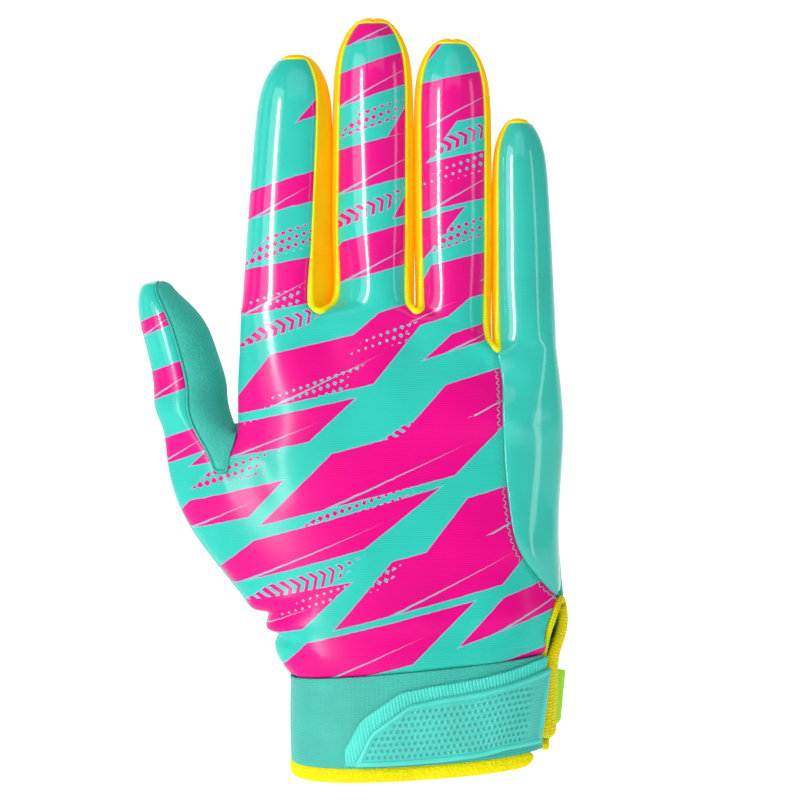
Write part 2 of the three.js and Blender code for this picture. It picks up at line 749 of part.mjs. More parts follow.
// A closed solid from a panel of faces: its outside, its inside one wall below, and its edges.
// The edges are drawn in by the inset, and the outside by the bevel as well.
function panelSolid(mesh, faces, normals, sizes) {
  const { pulls, rims } = bordersOf(mesh, faces);
  const used = [...new Set(faces.flatMap((face) => face.corners))];
  const order = new Map(used.map((corner, index) => [corner, index]));
  const outside = [];
  const inside = [];
  used.forEach((corner) => {
    const drawn = (distance) => {
      const point = mesh.points[corner].clone();
      const pull = pulls.get(corner);
      if (pull) {
        const sum = pull.reduce((total, way) => total.add(way), new THREE.Vector3());
        const mitre = Math.min(pull.length / sum.length(), sharpestMitre);
        point.addScaledVector(sum.normalize(), distance * mitre);
      }
      return point;
    };
    outside.push(drawn(sizes.inset + (sizes.bevel ?? 0)));
    inside.push(drawn(sizes.inset + skive).addScaledVector(normals[corner], -sizes.wall));
  });
  const below = used.length;
  const triangles = [];
  faces.forEach((face) => {
    const [a, b, c, d] = face.corners.map((corner) => order.get(corner));
    triangles.push(a, b, c, a, c, d);
    triangles.push(below + c, below + b, below + a, below + d, below + c, below + a);
  });
  rims.forEach(([from, to]) => {
    const a = order.get(from);
    const b = order.get(to);
    triangles.push(b, a, below + a, b, below + a, below + b);
  });
  const geometry = new THREE.BufferGeometry();
  geometry.setFromPoints([...outside, ...inside]);
  geometry.setIndex(triangles);
  geometry.computeVertexNormals();
  return geometry;
}

const shellNormals = normalsOf(shell);

function clothPanel(name, thickness) {
  const faces = shell.faces.filter((face) => face.panel === name);
  return panelSolid(shell, faces, shellNormals, { inset: seamGap / 2, wall: thickness });
}

// A closed solid through a list of sections, each a ring of points, with flat ends
function sweptSolid(sections) {
  const count = sections[0].length;
  const points = sections.flat();
  const triangles = [];
  for (let level = 0; level < sections.length - 1; level += 1) {
    for (let step = 0; step < count; step += 1) {
      const a = level * count + step;
      const b = level * count + ((step + 1) % count);
      triangles.push(a, b, b + count, a, b + count, a + count);
    }
  }
  const last = (sections.length - 1) * count;
  for (let step = 1; step < count - 1; step += 1) {
    triangles.push(0, step + 1, step);
    triangles.push(last, last + step, last + step + 1);
  }
  const geometry = new THREE.BufferGeometry();
  geometry.setFromPoints(points);
  geometry.setIndex(triangles);
  geometry.computeVertexNormals();
  return geometry;
}

// A point on or off the cuff's outer surface, by angle and height
function cuffPoint(angle, z, lift) {
  const ring = (turn) => outlinePoint(turn, wrist);
  const step = 0.01;
  const along = ring(angle + step).sub(ring(angle - step)).normalize();
  const point = ring(angle).addScaledVector(new THREE.Vector3(-along.y, along.x, 0), lift);
  point.z = z;
  return point;
}

// The angle on the cuff's outline at a length along it, from +X toward the back of the hand
function cuffAngle(length) {
  const step = Math.sign(length) * 0.005;
  let angle = 0;
  let walked = 0;
  while (walked < Math.abs(length)) {
    walked += outlinePoint(angle, wrist).distanceTo(outlinePoint(angle + step, wrist));
    angle += step;
  }
  return angle;
}

// The cuff and the hem end where the cloth does, on both sides of the slit
const slitBackAngle = Math.acos(
  ((handRows[0].seam * palmWidth - wrist.middle) / wrist.half) ** (squareness / 2),
);
const cuffSteps = 34;
const cuffStart = slitBackAngle + seamGap / 2 / wrist.front;
const cuffEnd = 2 * Math.PI + cuffAngle(-seamGap / 2);

function cuffSections(start, corners) {
  return Array.from({ length: cuffSteps + 1 }, (unused, step) => {
    return corners(mix(start, cuffEnd, step / cuffSteps));
  });
}

const cuff = sweptSolid(cuffSections(cuffStart, (angle) => {
  const bottom = cuffPoint(angle, 0, 0);
  const low = hemTopAt(bottom.x, bottom.y) + seamGap;
  const high = cuffTopAt(bottom.x);
  return [
    cuffPoint(angle, low, 0),
    cuffPoint(angle, high, 0),
    cuffPoint(angle, high, -cuffWall),
    cuffPoint(angle, low, -cuffWall),
  ];
}));

// The hem's rounded section; its middle lies a little inside the cuff's own
const hemSides = 8;
const hemMiddle = 0.6 * cuffWall;
const hemReach = Math.cos(Math.PI / hemSides);
const hemStart = cuffStart + hemSetback / wrist.front;
const hemBinding = sweptSolid(cuffSections(hemStart, (angle) => {
  const edge = cuffPoint(angle, 0, 0);
  const middle = hemTopAt(edge.x, edge.y) - hemHeight / 2;
  return Array.from({ length: hemSides }, (unused, step) => {
    const turn = (2 * Math.PI * (step + 0.5)) / hemSides;
    const lift = (Math.cos(turn) * hemThickness) / 2 / hemReach - hemMiddle;
    const rise = (Math.sin(turn) * hemHeight) / 2 / hemReach;
    return cuffPoint(angle, middle + rise, lift);
  });
}));

// The open edge of the cloth round the slit, from the cuff on the back side to the palm side
function slitRim() {
  const around = neighboursOf(shell);
  const rim = [known('hand0front6')];
  const upward = (from) => around[from].rim.toSorted((a, b) => shell.points[b].z - shell.points[a].z);
  rim.push(upward(rim[0])[0]);
  while (rim.at(-1) !== known('hand0mid8')) {
    rim.push(around[rim.at(-1)].rim.find((next) => next !== rim.at(-2)));
  }
  return rim;
}

// A stop on the slit's edging beside the cuff, at a share of the cuff's height: a point on the
// edge, the way out of the cloth, and how far the edging stands out of it
function cuffStop(angle, rise, proud, width) {
  const surface = cuffPoint(angle, 0, 0);
  const low = hemTopAt(surface.x, surface.y) + bindingWidth / 2;
  const edge = cuffPoint(angle, mix(low, cuffTopAt(surface.x), rise), 0);
  const out = cuffPoint(angle, 0, 1).sub(surface);
  return { edge, out, proud, width };
}

// The edging lies below the strap on the back side, and level with its patch on the other
const patchLift = strapLift + strapWall + seamGap + patchWall;
const stopRises = [0, 0.3, 0.6, 0.9];

// The share of the slit's open edge over which the edging rises out of the cloth or widens, and how
// far it stands out at its lower end on the palm side, as a share of the patch's height there
const edgingRise = 0.3;
const edgingLow = 0.78;

const slitStops = [
  ...stopRises.map((rise) => cuffStop(slitBackAngle, rise, -bindingTuck, bindingWidth)),
  ...slitRim().slice(1, -1).map((index, step, rim) => {
    const share = step / (rim.length - 1);
    return {
      edge: shell.points[index],
      out: shellNormals[index],
      proud: mix(-bindingTuck, bindingProud, smooth(share / edgingRise)),
      width: mix(bindingWidth, sewnWidthAbove, smooth((share - 1) / edgingRise + 1)),
    };
  }),
  ...stopRises.toReversed().map((rise) => {
    return cuffStop(0, rise, patchLift * mix(edgingLow, 1, rise), sewnWidth);
  }),
];

const bindingSides = 6;
const slitBinding = sweptSolid(slitStops.map((stop, index) => {
  const before = slitStops[Math.max(0, index - 1)].edge;
  const after = slitStops[Math.min(slitStops.length - 1, index + 1)].edge;
  const side = after.clone().sub(before).cross(stop.out).normalize();
  const centre = stop.edge.clone()
    .addScaledVector(side, (stop.width + seamGap) / 2)
    .addScaledVector(stop.out, stop.proud - bindingThickness / 2);
  return Array.from({ length: bindingSides }, (unused, corner) => {
    const turn = (2 * Math.PI * corner) / bindingSides;
    return centre.clone()
      .addScaledVector(stop.out, (Math.cos(turn) * bindingThickness) / 2)
      .addScaledVector(side, (Math.sin(turn) * stop.width) / 2);
  });
}));

// The strap's outline at a share of its length, between the two rows on either side of it
function strapEdges(reach) {
  const next = Math.max(1, strapRows.findIndex((row) => row.reach >= reach));
  const [before, after] = [strapRows[next - 1], strapRows[next]];
  const share = (reach - before.reach) / (after.reach - before.reach);
  return { bottom: mix(before.bottom, after.bottom, share), top: mix(before.top, after.top, share) };
}

// The strap's net over the cuff, from its tip to its sewn end
const strapSteps = 24;

function strapNet(lift, grow) {
  const mesh = { points: [], faces: [] };
  const reaches = strapRows.map((row) => row.reach);
  for (let step = 1; step < strapSteps; step += 1) {
    const reach = step / strapSteps;
    if (reaches.every((other) => Math.abs(other - reach) > 0.5 / strapSteps)) {
      reaches.push(reach);
    }
  }
  reaches.sort((a, b) => a - b).forEach((reach, index) => {
    const edges = strapEdges(reach);
    const angle = cuffAngle(sewnWidth + 2 * seamGap + (1 - reach) * (strapLength + grow));
    const base = cuffPoint(angle, 0, 0);
    const floor = hemTopAt(base.x, base.y) + seamGap;
    mesh.points.push(cuffPoint(angle, floor + edges.bottom * strapHeight, lift));
    mesh.points.push(cuffPoint(angle, floor + edges.top * strapHeight + grow, lift));
    if (index > 0) {
      const corner = 2 * index;
      mesh.faces.push({ corners: [corner - 2, corner, corner + 1, corner - 1], panel: 'strap' });
    }
  });
  return mesh;
}

const strapMesh = strapNet(strapLift + strapWall, ribBand);
const strapBase = panelSolid(strapMesh, strapMesh.faces, normalsOf(strapMesh), {
  inset: 0,
  wall: strapWall,
});
const patchMesh = strapNet(patchLift, 0);
const strapPatch = panelSolid(patchMesh, patchMesh.faces, normalsOf(patchMesh), {
  inset: 0,
  bevel: patchBevel,
  wall: patchWall,
});

// The pull tab lies behind the sewn end of the strap, and stands a little off the cuff
const tabSteps = 3;
const tabLow = cuffTopHeight - tabDrop - tabHeight;
const pullTab = sweptSolid(Array.from({ length: tabSteps + 1 }, (unused, step) => {
  const share = step / tabSteps;
  const angle = cuffAngle(-seamGap - share * tabLength);
  const lift = seamGap + share * tabFlare;
  const liftLow = seamGap + share * tabFlareLow;
  return [
    cuffPoint(angle, tabLow, liftLow + tabWall),
    cuffPoint(angle, tabLow, liftLow),
    cuffPoint(angle, tabLow + tabHeight, lift),
    cuffPoint(angle, tabLow + tabHeight, lift + tabWall),
  ];
}));

const turquoise = 0x48d9c8;
const yellow = 0xfff000;

const finishes = {
  printed_cloth: { color: 0xff1c96, roughness: 0.35, metalness: 0 },
  plain_cloth: { color: turquoise, roughness: 0.35, metalness: 0 },
  palm_cloth: { color: 0x40cdbd, roughness: 0.6, metalness: 0 },
  grained_cloth: { color: 0x4bc4b6, roughness: 0.75, metalness: 0 },
  gusset_cloth: { color: 0xffc800, roughness: 0.6, metalness: 0 },
  cuff_knit: { color: 0x4ad2c4, roughness: 0.65, metalness: 0 },
  yellow_binding: { color: yellow, roughness: 0.7, metalness: 0 },
  strap_cloth: { color: 0x3fc4b4, roughness: 0.6, metalness: 0 },
  moulded_rubber: { color: 0x44d0c0, roughness: 0.45, metalness: 0 },
  tab_tape: { color: 0x8fd400, roughness: 0.6, metalness: 0 },
};

const glove = new THREE.Group();

function addPiece(name, geometry, finish) {
  const mesh = new THREE.Mesh(geometry, new THREE.MeshStandardMaterial(finishes[finish]));
  mesh.name = name;
  glove.add(mesh);
}

addPiece('back_panel', clothPanel('back_panel', wall), 'printed_cloth');
addPiece('little_finger_panel', clothPanel('little_finger_panel', wall), 'plain_cloth');
addPiece('palm_panel', clothPanel('palm_panel', wall), 'palm_cloth');
addPiece('thumb_inner_panel', clothPanel('thumb_inner_panel', wall), 'grained_cloth');
gussets.filter((name) => name).forEach((name) => {
  addPiece(name, clothPanel(name, wall), 'gusset_cloth');
});
addPiece('cuff', cuff, 'cuff_knit');
addPiece('hem_binding', hemBinding, 'yellow_binding');
addPiece('slit_binding', slitBinding, 'yellow_binding');
addPiece('strap_base', strapBase, 'strap_cloth');
addPiece('strap_patch', strapPatch, 'moulded_rubber');
addPiece('pull_tab', pullTab, 'tab_tape');

export default glove;
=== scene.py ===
import math
from collections import Counter
from functools import cached_property

import bpy
import numpy as np
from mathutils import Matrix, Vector
from mathutils.bvhtree import BVHTree


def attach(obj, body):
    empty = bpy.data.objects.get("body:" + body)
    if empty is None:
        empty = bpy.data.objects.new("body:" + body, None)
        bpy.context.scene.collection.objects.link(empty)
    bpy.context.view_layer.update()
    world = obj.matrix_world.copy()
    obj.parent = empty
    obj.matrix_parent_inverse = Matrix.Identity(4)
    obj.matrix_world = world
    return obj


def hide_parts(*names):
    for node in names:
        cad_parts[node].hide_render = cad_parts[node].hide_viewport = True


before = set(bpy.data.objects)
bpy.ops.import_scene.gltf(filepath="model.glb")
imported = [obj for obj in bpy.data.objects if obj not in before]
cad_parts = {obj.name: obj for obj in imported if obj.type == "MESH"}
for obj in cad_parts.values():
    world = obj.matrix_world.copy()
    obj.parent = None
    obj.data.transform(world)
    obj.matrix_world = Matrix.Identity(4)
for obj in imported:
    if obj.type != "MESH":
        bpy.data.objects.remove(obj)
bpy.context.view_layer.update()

# Football receiver glove for the right hand, filled as when worn, with the back of the hand
# toward -Y, the thumb at -X and the fingertips up. Sizes here are in millimetres and meshes in
# metres.
MM = 0.001

PALM_HEIGHT = 141
THUMB_CROTCH_HEIGHT = 104.4
CUFF_TOP_HEIGHT = 35.6
HEM_TOP_HEIGHT = 10.2
HEM_HEIGHT = 4.9
CUFF_TOP_TILT = 0.098
HEM_TILT = 0.068
HEM_DIP = 0.085
PALM_WIDTH = 94.4
PALM_DEPTH = 38
FINGER_DEPTH = 20.5
THUMB_WIDTH = 22
THUMB_DEPTH = 21
THUMB_LENGTH = 46.2
CLOTH = 1.2
CUFF_WALL = 2
SEAM_GAP = 0.3
HEM_THICKNESS = 3
BINDING_WIDTH = 2.4
BINDING_THICKNESS = 2.4
BINDING_PROUD = 0.7
BINDING_TUCK = 0.6
SEWN_WIDTH = 8
SEWN_WIDTH_ABOVE = 5.4
STRAP_WALL = 0.8
STRAP_LIFT = 0.45
PATCH_WALL = 1.1
RIB_BAND = 3.5
STRAP_LENGTH = 59.4
STRAP_HEIGHT = 21.6
TAB_HEIGHT = 17.6
TAB_LENGTH = 9
TAB_WALL = 1.2
SQUARENESS = 2.4


def mix(a, b, share):
    return a + (b - a) * share


def smooth(share):
    share = min(1, max(0, share))
    return share * share * (3 - 2 * share)


# ---- The hand's form: the same sections as the solids, as one smooth net

HAND_KEYS = ("rise", "rise_right", "left", "thumb_line", "leaf", "seam", "right", "front", "rear",
             "thumb_shift")
HAND_ROWS = [dict(zip(HAND_KEYS, row)) for row in (
    (0, 0, -0.41, -0.318, 0.5, 0.387, 0.415, 0.53, 0.575, 0),
    (0.09, 0.06, -0.454, -0.328, 0.5, 0.395, 0.441, 0.53, 0.575, 0.01),
    (0.17, 0.12, -0.472, -0.339, 0.5, 0.402, 0.449, 0.52, 0.57, 0.02),
    (0.24, 0.19, -0.5, -0.36, 0.5, 0.418, 0.455, 0.52, 0.57, 0.04),
    (0.34, 0.255, -0.561, -0.407, 0.5, 0.436, 0.452, 0.51, 0.56, 0.08),
    (0.49, 0.47, -0.65, -0.464, 0.5, 0.318, 0.445, 0.5, 0.56, 0.12),
    (0.67, 0.66, -0.747, -0.54, 0.55, 0.283, 0.444, 0.48, 0.55, 0.16),
    (0.86, 0.84, -0.799, -0.61, 0.8, 0.267, 0.451, 0.46, 0.5, 0.2),
    (1, 1, -0.817, -0.585, 0.48, 0.26, 0.456, 0.45, 0.46, 0.22),
)]
KNUCKLE_KEYS = ("rise", "left", "thumb_line", "seam", "right", "front", "rear", "to_fingers")
KNUCKLE_ROWS = [dict(zip(KNUCKLE_KEYS, row)) for row in (
    (0.34, -0.578, -0.548, 0.256, 0.453, 0.42, 0.43, 0),
    (0.7, -0.572, -0.542, 0.254, 0.443, 0.38, 0.39, 0.4),
    (1, -0.567, -0.537, 0.238, 0.432, 0.33, 0.34, 0.85),
)]
# Lines between the fingers: place at the base and tip, place of the crotch, drop of the crotch
LANES = (
    (-0.567, -0.51, -0.537, 0),
    (-0.273, -0.276, -0.315, 0),
    (-0.016, -0.022, -0.016, 0),
    (0.227, 0.226, 0.238, 0.082),
    (0.432, 0.396, 0.401, 0.07),
)
FINGER_KEYS = ("name", "lane", "length", "depth", "curl", "left_seam", "right_seam")
FINGERS = [dict(zip(FINGER_KEYS, row)) for row in (
    ("index", 0, 77.5, 1, 0.07, (45, 45), (62, 46)),
    ("middle", 1, 88.6, 1.02, 0.08, (22, 28), (40, 28)),
    ("ring", 2, 82.5, 0.98, 0.085, (35, 27), (37, 26)),
    ("little", 3, 68.3, 0.86, 0.08, (35, 32), (35, 30)),
)]
# Sections along a finger: rise, width, depth
FINGER_ROWS = ((0.06, 1, 1.06), (0.24, 1, 1.02), (0.45, 1, 0.97), (0.65, 0.99, 0.92),
               (0.82, 0.94, 0.84), (0.92, 0.75, 0.68), (0.98, 0.44, 0.42))
# Sections along the thumb: rise, lean, width, depth, forward
THUMB_ROWS = (
    (0.17, 0.06, 0.97, 1.1, 0.2), (0.33, 0.072, 0.965, 1, 0.23), (0.54, 0.125, 0.945, 0.98, 0.26),
    (0.71, 0.18, 0.9, 0.93, 0.29), (0.84, 0.24, 0.73, 0.8, 0.31), (0.925, 0.28, 0.52, 0.6, 0.32),
    (0.975, 0.287, 0.36, 0.42, 0.325),
)
THUMB_ROOT = -0.707 * PALM_WIDTH
THUMB_TIP_LEAN = 0.274
SEAM_COLUMN = 6
LAST_COLUMN = 8
EDGE_SHARE = 0.022
REAR_SEAM_ANGLE = 42
WEB_PINCH = 0.55
WEB_SHIFT = 0.06
CROTCH_FRONT = 0.27
CROTCH_REAR = 0.3
CROTCH_RISE = 0.02
# In the filled glove the walls between two fingers touch
FINGER_GAP = 0.1
CROTCH_GAP = 0.5
SLIT_TOP_ROW = 4
CROTCH_ROW = len(HAND_ROWS) - 1
WRIST_MIDDLE = (HAND_ROWS[0]["left"] + HAND_ROWS[0]["right"]) / 2 * PALM_WIDTH
WRIST_HALF = (HAND_ROWS[0]["right"] - HAND_ROWS[0]["left"]) / 2 * PALM_WIDTH
WRIST_FRONT = HAND_ROWS[0]["front"] * PALM_DEPTH
WRIST_REAR = HAND_ROWS[0]["rear"] * PALM_DEPTH

PANELS = ("back", "little_finger", "palm", "thumb_leaf", "wall_index_middle", "wall_middle_ring",
          "wall_ring_little")
BACK, LITTLE, PALM, LEAF, WALL_ONE, WALL_TWO, WALL_THREE = range(7)
WALLS = (None, WALL_ONE, WALL_TWO, WALL_THREE, None)

net_points = []
net_index = {}
net_faces = []
net_panels = []


def place(name, x, y, z):
    if name not in net_index:
        net_index[name] = len(net_points)
        net_points.append((x, y, z))


def cuff_top_at(x):
    return CUFF_TOP_HEIGHT + CUFF_TOP_TILT * (x - WRIST_MIDDLE)


def hem_top_at(x, y):
    return HEM_TOP_HEIGHT + HEM_TILT * (x - WRIST_MIDDLE) + HEM_DIP * y


def column_places(row):
    left, right, thumb_line, seam = (
        row[key] * PALM_WIDTH for key in ("left", "right", "thumb_line", "seam"))
    shoulder = EDGE_SHARE * PALM_WIDTH
    places = {}
    if "leaf" in row:
        places[-2] = left + shoulder
        places[-1] = mix(left, thumb_line, row["leaf"])
    for column in range(SEAM_COLUMN + 1):
        places[column] = mix(thumb_line, seam, column / SEAM_COLUMN)
    edge = right - min(shoulder, (right - seam) / 3)
    places[SEAM_COLUMN + 1] = (seam + edge) / 2
    places[LAST_COLUMN] = edge
    return places


def palm_y(row, side, x):
    left, right = row["left"] * PALM_WIDTH, row["right"] * PALM_WIDTH
    across = (x - (left + right) / 2) / ((right - left) / 2)
    shift = row.get("thumb_shift", 0) * PALM_DEPTH * smooth(-across)
    depth = -row["front"] if side == "front" else row["rear"]
    return shift + depth * PALM_DEPTH * max(0, 1 - abs(across) ** SQUARENESS) ** (1 / SQUARENESS)


def hand_row_height(row, x):
    across = min(1, max(0, 0.5 + x / PALM_WIDTH))
    low = cuff_top_at(x) + SEAM_GAP
    return mix(low, THUMB_CROTCH_HEIGHT, mix(row["rise"], row["rise_right"], across))


def add_hand_row(index, row):
    key = f"hand{index}"
    places = column_places(row)
    rear_start = row["thumb_line"] * PALM_WIDTH
    rear_end = places[LAST_COLUMN]
    for column, x in places.items():
        pinch = WEB_PINCH if index == CROTCH_ROW and column == 0 else 1
        if index >= SLIT_TOP_ROW or column <= SEAM_COLUMN:
            y = palm_y(row, "front", x) * pinch
            place(f"{key}front{column}", x, y, hand_row_height(row, x))
        spread = mix(rear_start, rear_end, column / LAST_COLUMN) if column > 0 else x
        rear_x = mix(spread, x, row["rise"])
        y = palm_y(row, "rear", rear_x) * pinch
        place(f"{key}rear{column}", rear_x, y, hand_row_height(row, rear_x))
    left, right = row["left"] * PALM_WIDTH, row["right"] * PALM_WIDTH
    shift = row["thumb_shift"] * PALM_DEPTH
    place(f"{key}mid-2", left, shift, hand_row_height(row, left))
    place(f"{key}mid8", right, 0, hand_row_height(row, right))


def crotch_height(lane):
    return PALM_HEIGHT * (1 - LANES[lane][3])


def knuckle_height(column):
    lane = column / 2
    return mix(crotch_height(math.floor(lane)), crotch_height(math.ceil(lane)), 0.5)


def add_knuckle_row(index, row):
    key = f"knuckle{index}"
    last = index == len(KNUCKLE_ROWS) - 1
    for column, x in column_places(row).items():
        z = mix(THUMB_CROTCH_HEIGHT, knuckle_height(column), row["rise"])
        if last and column % 2 == 0 and 0 < column < LAST_COLUMN:
            base, _, crotch, _ = LANES[column // 2]
            front = (crotch * PALM_WIDTH, -CROTCH_FRONT * PALM_DEPTH, z)
            rear = (base * PALM_WIDTH, CROTCH_REAR * PALM_DEPTH, z + CROTCH_RISE * PALM_HEIGHT)
            place(f"{key}mid{column}", (front[0] + rear[0]) / 2, 0, z)
        else:
            finger = FINGERS[min(3, column // 2)]
            outer = math.sqrt(0.5) if column % 2 == 0 else 1
            out = finger["depth"] * FINGER_ROWS[0][2] * FINGER_DEPTH * outer / 2
            share = row["to_fingers"]
            front = (x, mix(palm_y(row, "front", x), -out, share), z)
            rear = (x, mix(palm_y(row, "rear", x), out, share), z)
        place(f"{key}front{column}", *front)
        place(f"{key}rear{column}", *rear)
    for column, side in ((0, "left"), (LAST_COLUMN, "right")):
        z = mix(THUMB_CROTCH_HEIGHT, knuckle_height(column), row["rise"])
        place(f"{key}mid{column}", row[side] * PALM_WIDTH, 0, z)


def add_finger_ring(key, first, left, right, half_depth, seams):
    left, right = Vector(left), Vector(right)
    centre, half = (left + right) / 2, (right - left) / 2
    for name, angle in (
        (f"front{first}", 180 - seams[0]), (f"front{first + 1}", 90),
        (f"front{first + 2}", seams[1]), (f"mid{first + 2}", 0),
        (f"rear{first + 2}", -REAR_SEAM_ANGLE), (f"rear{first + 1}", -90),
        (f"rear{first}", REAR_SEAM_ANGLE - 180), (f"mid{first}", 180),
    ):
        turn = math.radians(angle)
        point = centre + half * math.cos(turn)
        place(key + name, point.x, point.y - half_depth * math.sin(turn), point.z)


def lane_edge(lane, rise, inward):
    near_crotch = max(0, 1 - rise / FINGER_ROWS[1][0])
    outer = lane in (0, len(LANES) - 1)
    clear = 0 if outer else mix(FINGER_GAP, CROTCH_GAP, near_crotch) / 2
    return mix(LANES[lane][0], LANES[lane][1], rise) * PALM_WIDTH + inward * clear


def add_finger(finger):
    lane, first = finger["lane"], 2 * finger["lane"]
    tip = max(crotch_height(lane), crotch_height(lane + 1)) + finger["length"]
    curl = finger["curl"] * finger["length"]
    for index, (rise, width, depth) in enumerate(FINGER_ROWS):
        left_x, right_x = lane_edge(lane, rise, 1), lane_edge(lane + 1, rise, -1)
        middle, half = (left_x + right_x) / 2, (right_x - left_x) / 2 * width
        y = curl * rise ** 2
        seams = [mix(*finger[side], rise) for side in ("left_seam", "right_seam")]
        add_finger_ring(
            f"{finger['name']}{index}", first,
            (middle - half, y, mix(crotch_height(lane), tip, rise)),
            (middle + half, y, mix(crotch_height(lane + 1), tip, rise)),
            finger["depth"] * depth * FINGER_DEPTH / 2, seams)
    tip_x = (lane_edge(lane, 1, 1) + lane_edge(lane + 1, 1, -1)) / 2
    place(f"{finger['name']}tip", tip_x, curl, tip)


def add_thumb():
    for index, (rise, lean, width, depth, forward) in enumerate(THUMB_ROWS):
        middle = THUMB_ROOT - lean * THUMB_LENGTH
        half = width * THUMB_WIDTH / 2
        y, z = forward * THUMB_LENGTH, THUMB_CROTCH_HEIGHT + rise * THUMB_LENGTH
        add_finger_ring(f"thumb{index}", -2, (middle - half, y, z), (middle + half, y, z),
                        depth * THUMB_DEPTH / 2, (45, 45))
    place("thumbtip", THUMB_ROOT - THUMB_TIP_LEAN * THUMB_LENGTH,
          THUMB_ROWS[-1][4] * THUMB_LENGTH, THUMB_CROTCH_HEIGHT + THUMB_LENGTH)


def add_face(names, panel):
    net_faces.append([net_index[name] for name in names])
    net_panels.append(panel)


def add_tube(keys, first, last, panel_of):
    columns = range(first, last + 1)
    ring = [("front", c) for c in columns] + [("mid", last)]
    ring += [("rear", c) for c in reversed(columns)] + [("mid", first)]
    for level in range(len(keys) - 1):
        for step, a in enumerate(ring):
            b = ring[(step + 1) % len(ring)]
            panel = panel_of(a, b, level)
            if panel is not None:
                low, high = keys[level], keys[level + 1]
                add_face([f"{low}{a[0]}{a[1]}", f"{low}{b[0]}{b[1]}",
                          f"{high}{b[0]}{b[1]}", f"{high}{a[0]}{a[1]}"], panel)


def hand_panel(a, b, level):
    if "rear" in (a[0], b[0]):
        return PALM
    return LITTLE if min(a[1], b[1]) >= SEAM_COLUMN else BACK


def hand_row_panel(a, b, level):
    back = "rear" not in (a[0], b[0])
    if back and min(a[1], b[1]) >= SEAM_COLUMN and level < SLIT_TOP_ROW:
        return None
    leaf = level == CROTCH_ROW - 1 and a == ("front", -1)
    return LEAF if leaf else hand_panel(a, b, level)


def thumb_panel(a, b, level):
    if a[1] + b[1] == 0 or a == ("front", -1):
        return LEAF
    return hand_panel(a, b, level)


def finger_panel(a, b, level):
    wall = WALLS[a[1] // 2] if a[1] == b[1] else None
    return hand_panel(a, b, level) if wall is None else wall


def add_tip(name, top, first, left_back, right_back, right_palm, left_palm):
    corner = {f"{side}{step}": f"{top}{side}{first + step}"
              for side in ("front", "mid", "rear") for step in (0, 1, 2)}
    tip = f"{name}tip"
    add_face([corner["front0"], corner["front1"], tip, corner["mid0"]], left_back)
    add_face([corner["front1"], corner["front2"], corner["mid2"], tip], right_back)
    add_face([tip, corner["mid2"], corner["rear2"], corner["rear1"]], right_palm)
    add_face([corner["mid0"], tip, corner["rear1"], corner["rear0"]], left_palm)


def build_net():
    for index, row in enumerate(HAND_ROWS):
        add_hand_row(index, row)
    place(f"hand{CROTCH_ROW}mid0", HAND_ROWS[CROTCH_ROW]["thumb_line"] * PALM_WIDTH,
          WEB_SHIFT * PALM_DEPTH, THUMB_CROTCH_HEIGHT)
    for index, row in enumerate(KNUCKLE_ROWS):
        add_knuckle_row(index, row)
    for finger in FINGERS:
        add_finger(finger)
    add_thumb()
    hand_keys = [f"hand{index}" for index in range(len(HAND_ROWS))]
    knuckle_keys = [f"knuckle{index}" for index in range(len(KNUCKLE_ROWS))]
    add_tube(hand_keys, -2, LAST_COLUMN, hand_row_panel)
    add_tube([hand_keys[-1], *knuckle_keys], 0, LAST_COLUMN, hand_panel)
    for finger in FINGERS:
        first, lane = 2 * finger["lane"], finger["lane"]
        levels = [f"{finger['name']}{index}" for index in range(len(FINGER_ROWS))]
        add_tube([knuckle_keys[-1], *levels], first, first + 2, finger_panel)
        left = WALLS[lane] if WALLS[lane] is not None else WALLS[lane + 1]
        right = WALLS[lane + 1] if WALLS[lane + 1] is not None else WALLS[lane]
        add_tip(finger["name"], levels[-1], first, left, right, right, left)
    thumb_levels = [f"thumb{index}" for index in range(len(THUMB_ROWS))]
    add_tube([hand_keys[-1], *thumb_levels], -2, 0, thumb_panel)
    add_tip("thumb", thumb_levels[-1], -2, BACK, LEAF, LEAF, PALM)


def open_neighbours(edges):
    """The points on edges that only one face has, each with its neighbours along the border."""
    near = {}
    for (a, b), count in Counter(edges).items():
        if count == 1:
            near.setdefault(a, []).append(b)
            near.setdefault(b, []).append(a)
    return near


def fit_through_points(points, faces, rounds=8):
    """Moves the net out until its smooth surface passes through the points it started from."""
    near = [set() for _ in points]
    across = [[] for _ in points]
    edges = []
    for face in faces:
        for step, corner in enumerate(face):
            after = face[(step + 1) % 4]
            across[corner].append(face[(step + 2) % 4])
            near[corner] |= {after, face[(step + 3) % 4]}
            edges.append((min(corner, after), max(corner, after)))
    rim = open_neighbours(edges)
    targets = np.array(points, float)
    moved = targets.copy()
    for _ in range(rounds):
        places = np.empty_like(moved)
        for index, point in enumerate(moved):
            if index in rim:
                places[index] = (moved[rim[index]].sum(0) + 4 * point) / 6
            else:
                count = len(near[index])
                total = 4 * moved[list(near[index])].sum(0) + moved[across[index]].sum(0)
                places[index] = (total + count * count * point) / (count * (count + 5))
        moved += targets - places
    return moved


# Swellings of the filled hand: side, x, z, wide, tall, height, as shares of the palm
SWELLINGS = (
    (1, -0.42, 0.52, 0.45, 0.6, 0.09), (1, 0, 0.6, 0.5, 0.7, -0.08), (1, 0.3, 0.5, 0.35, 0.7, 0.05),
    (-1, -0.42, 0.93, 0.2, 0.35, 0.03), (-1, -0.14, 0.95, 0.2, 0.35, 0.035),
    (-1, 0.12, 0.93, 0.2, 0.35, 0.03), (-1, 0.34, 0.87, 0.18, 0.3, 0.025),
)
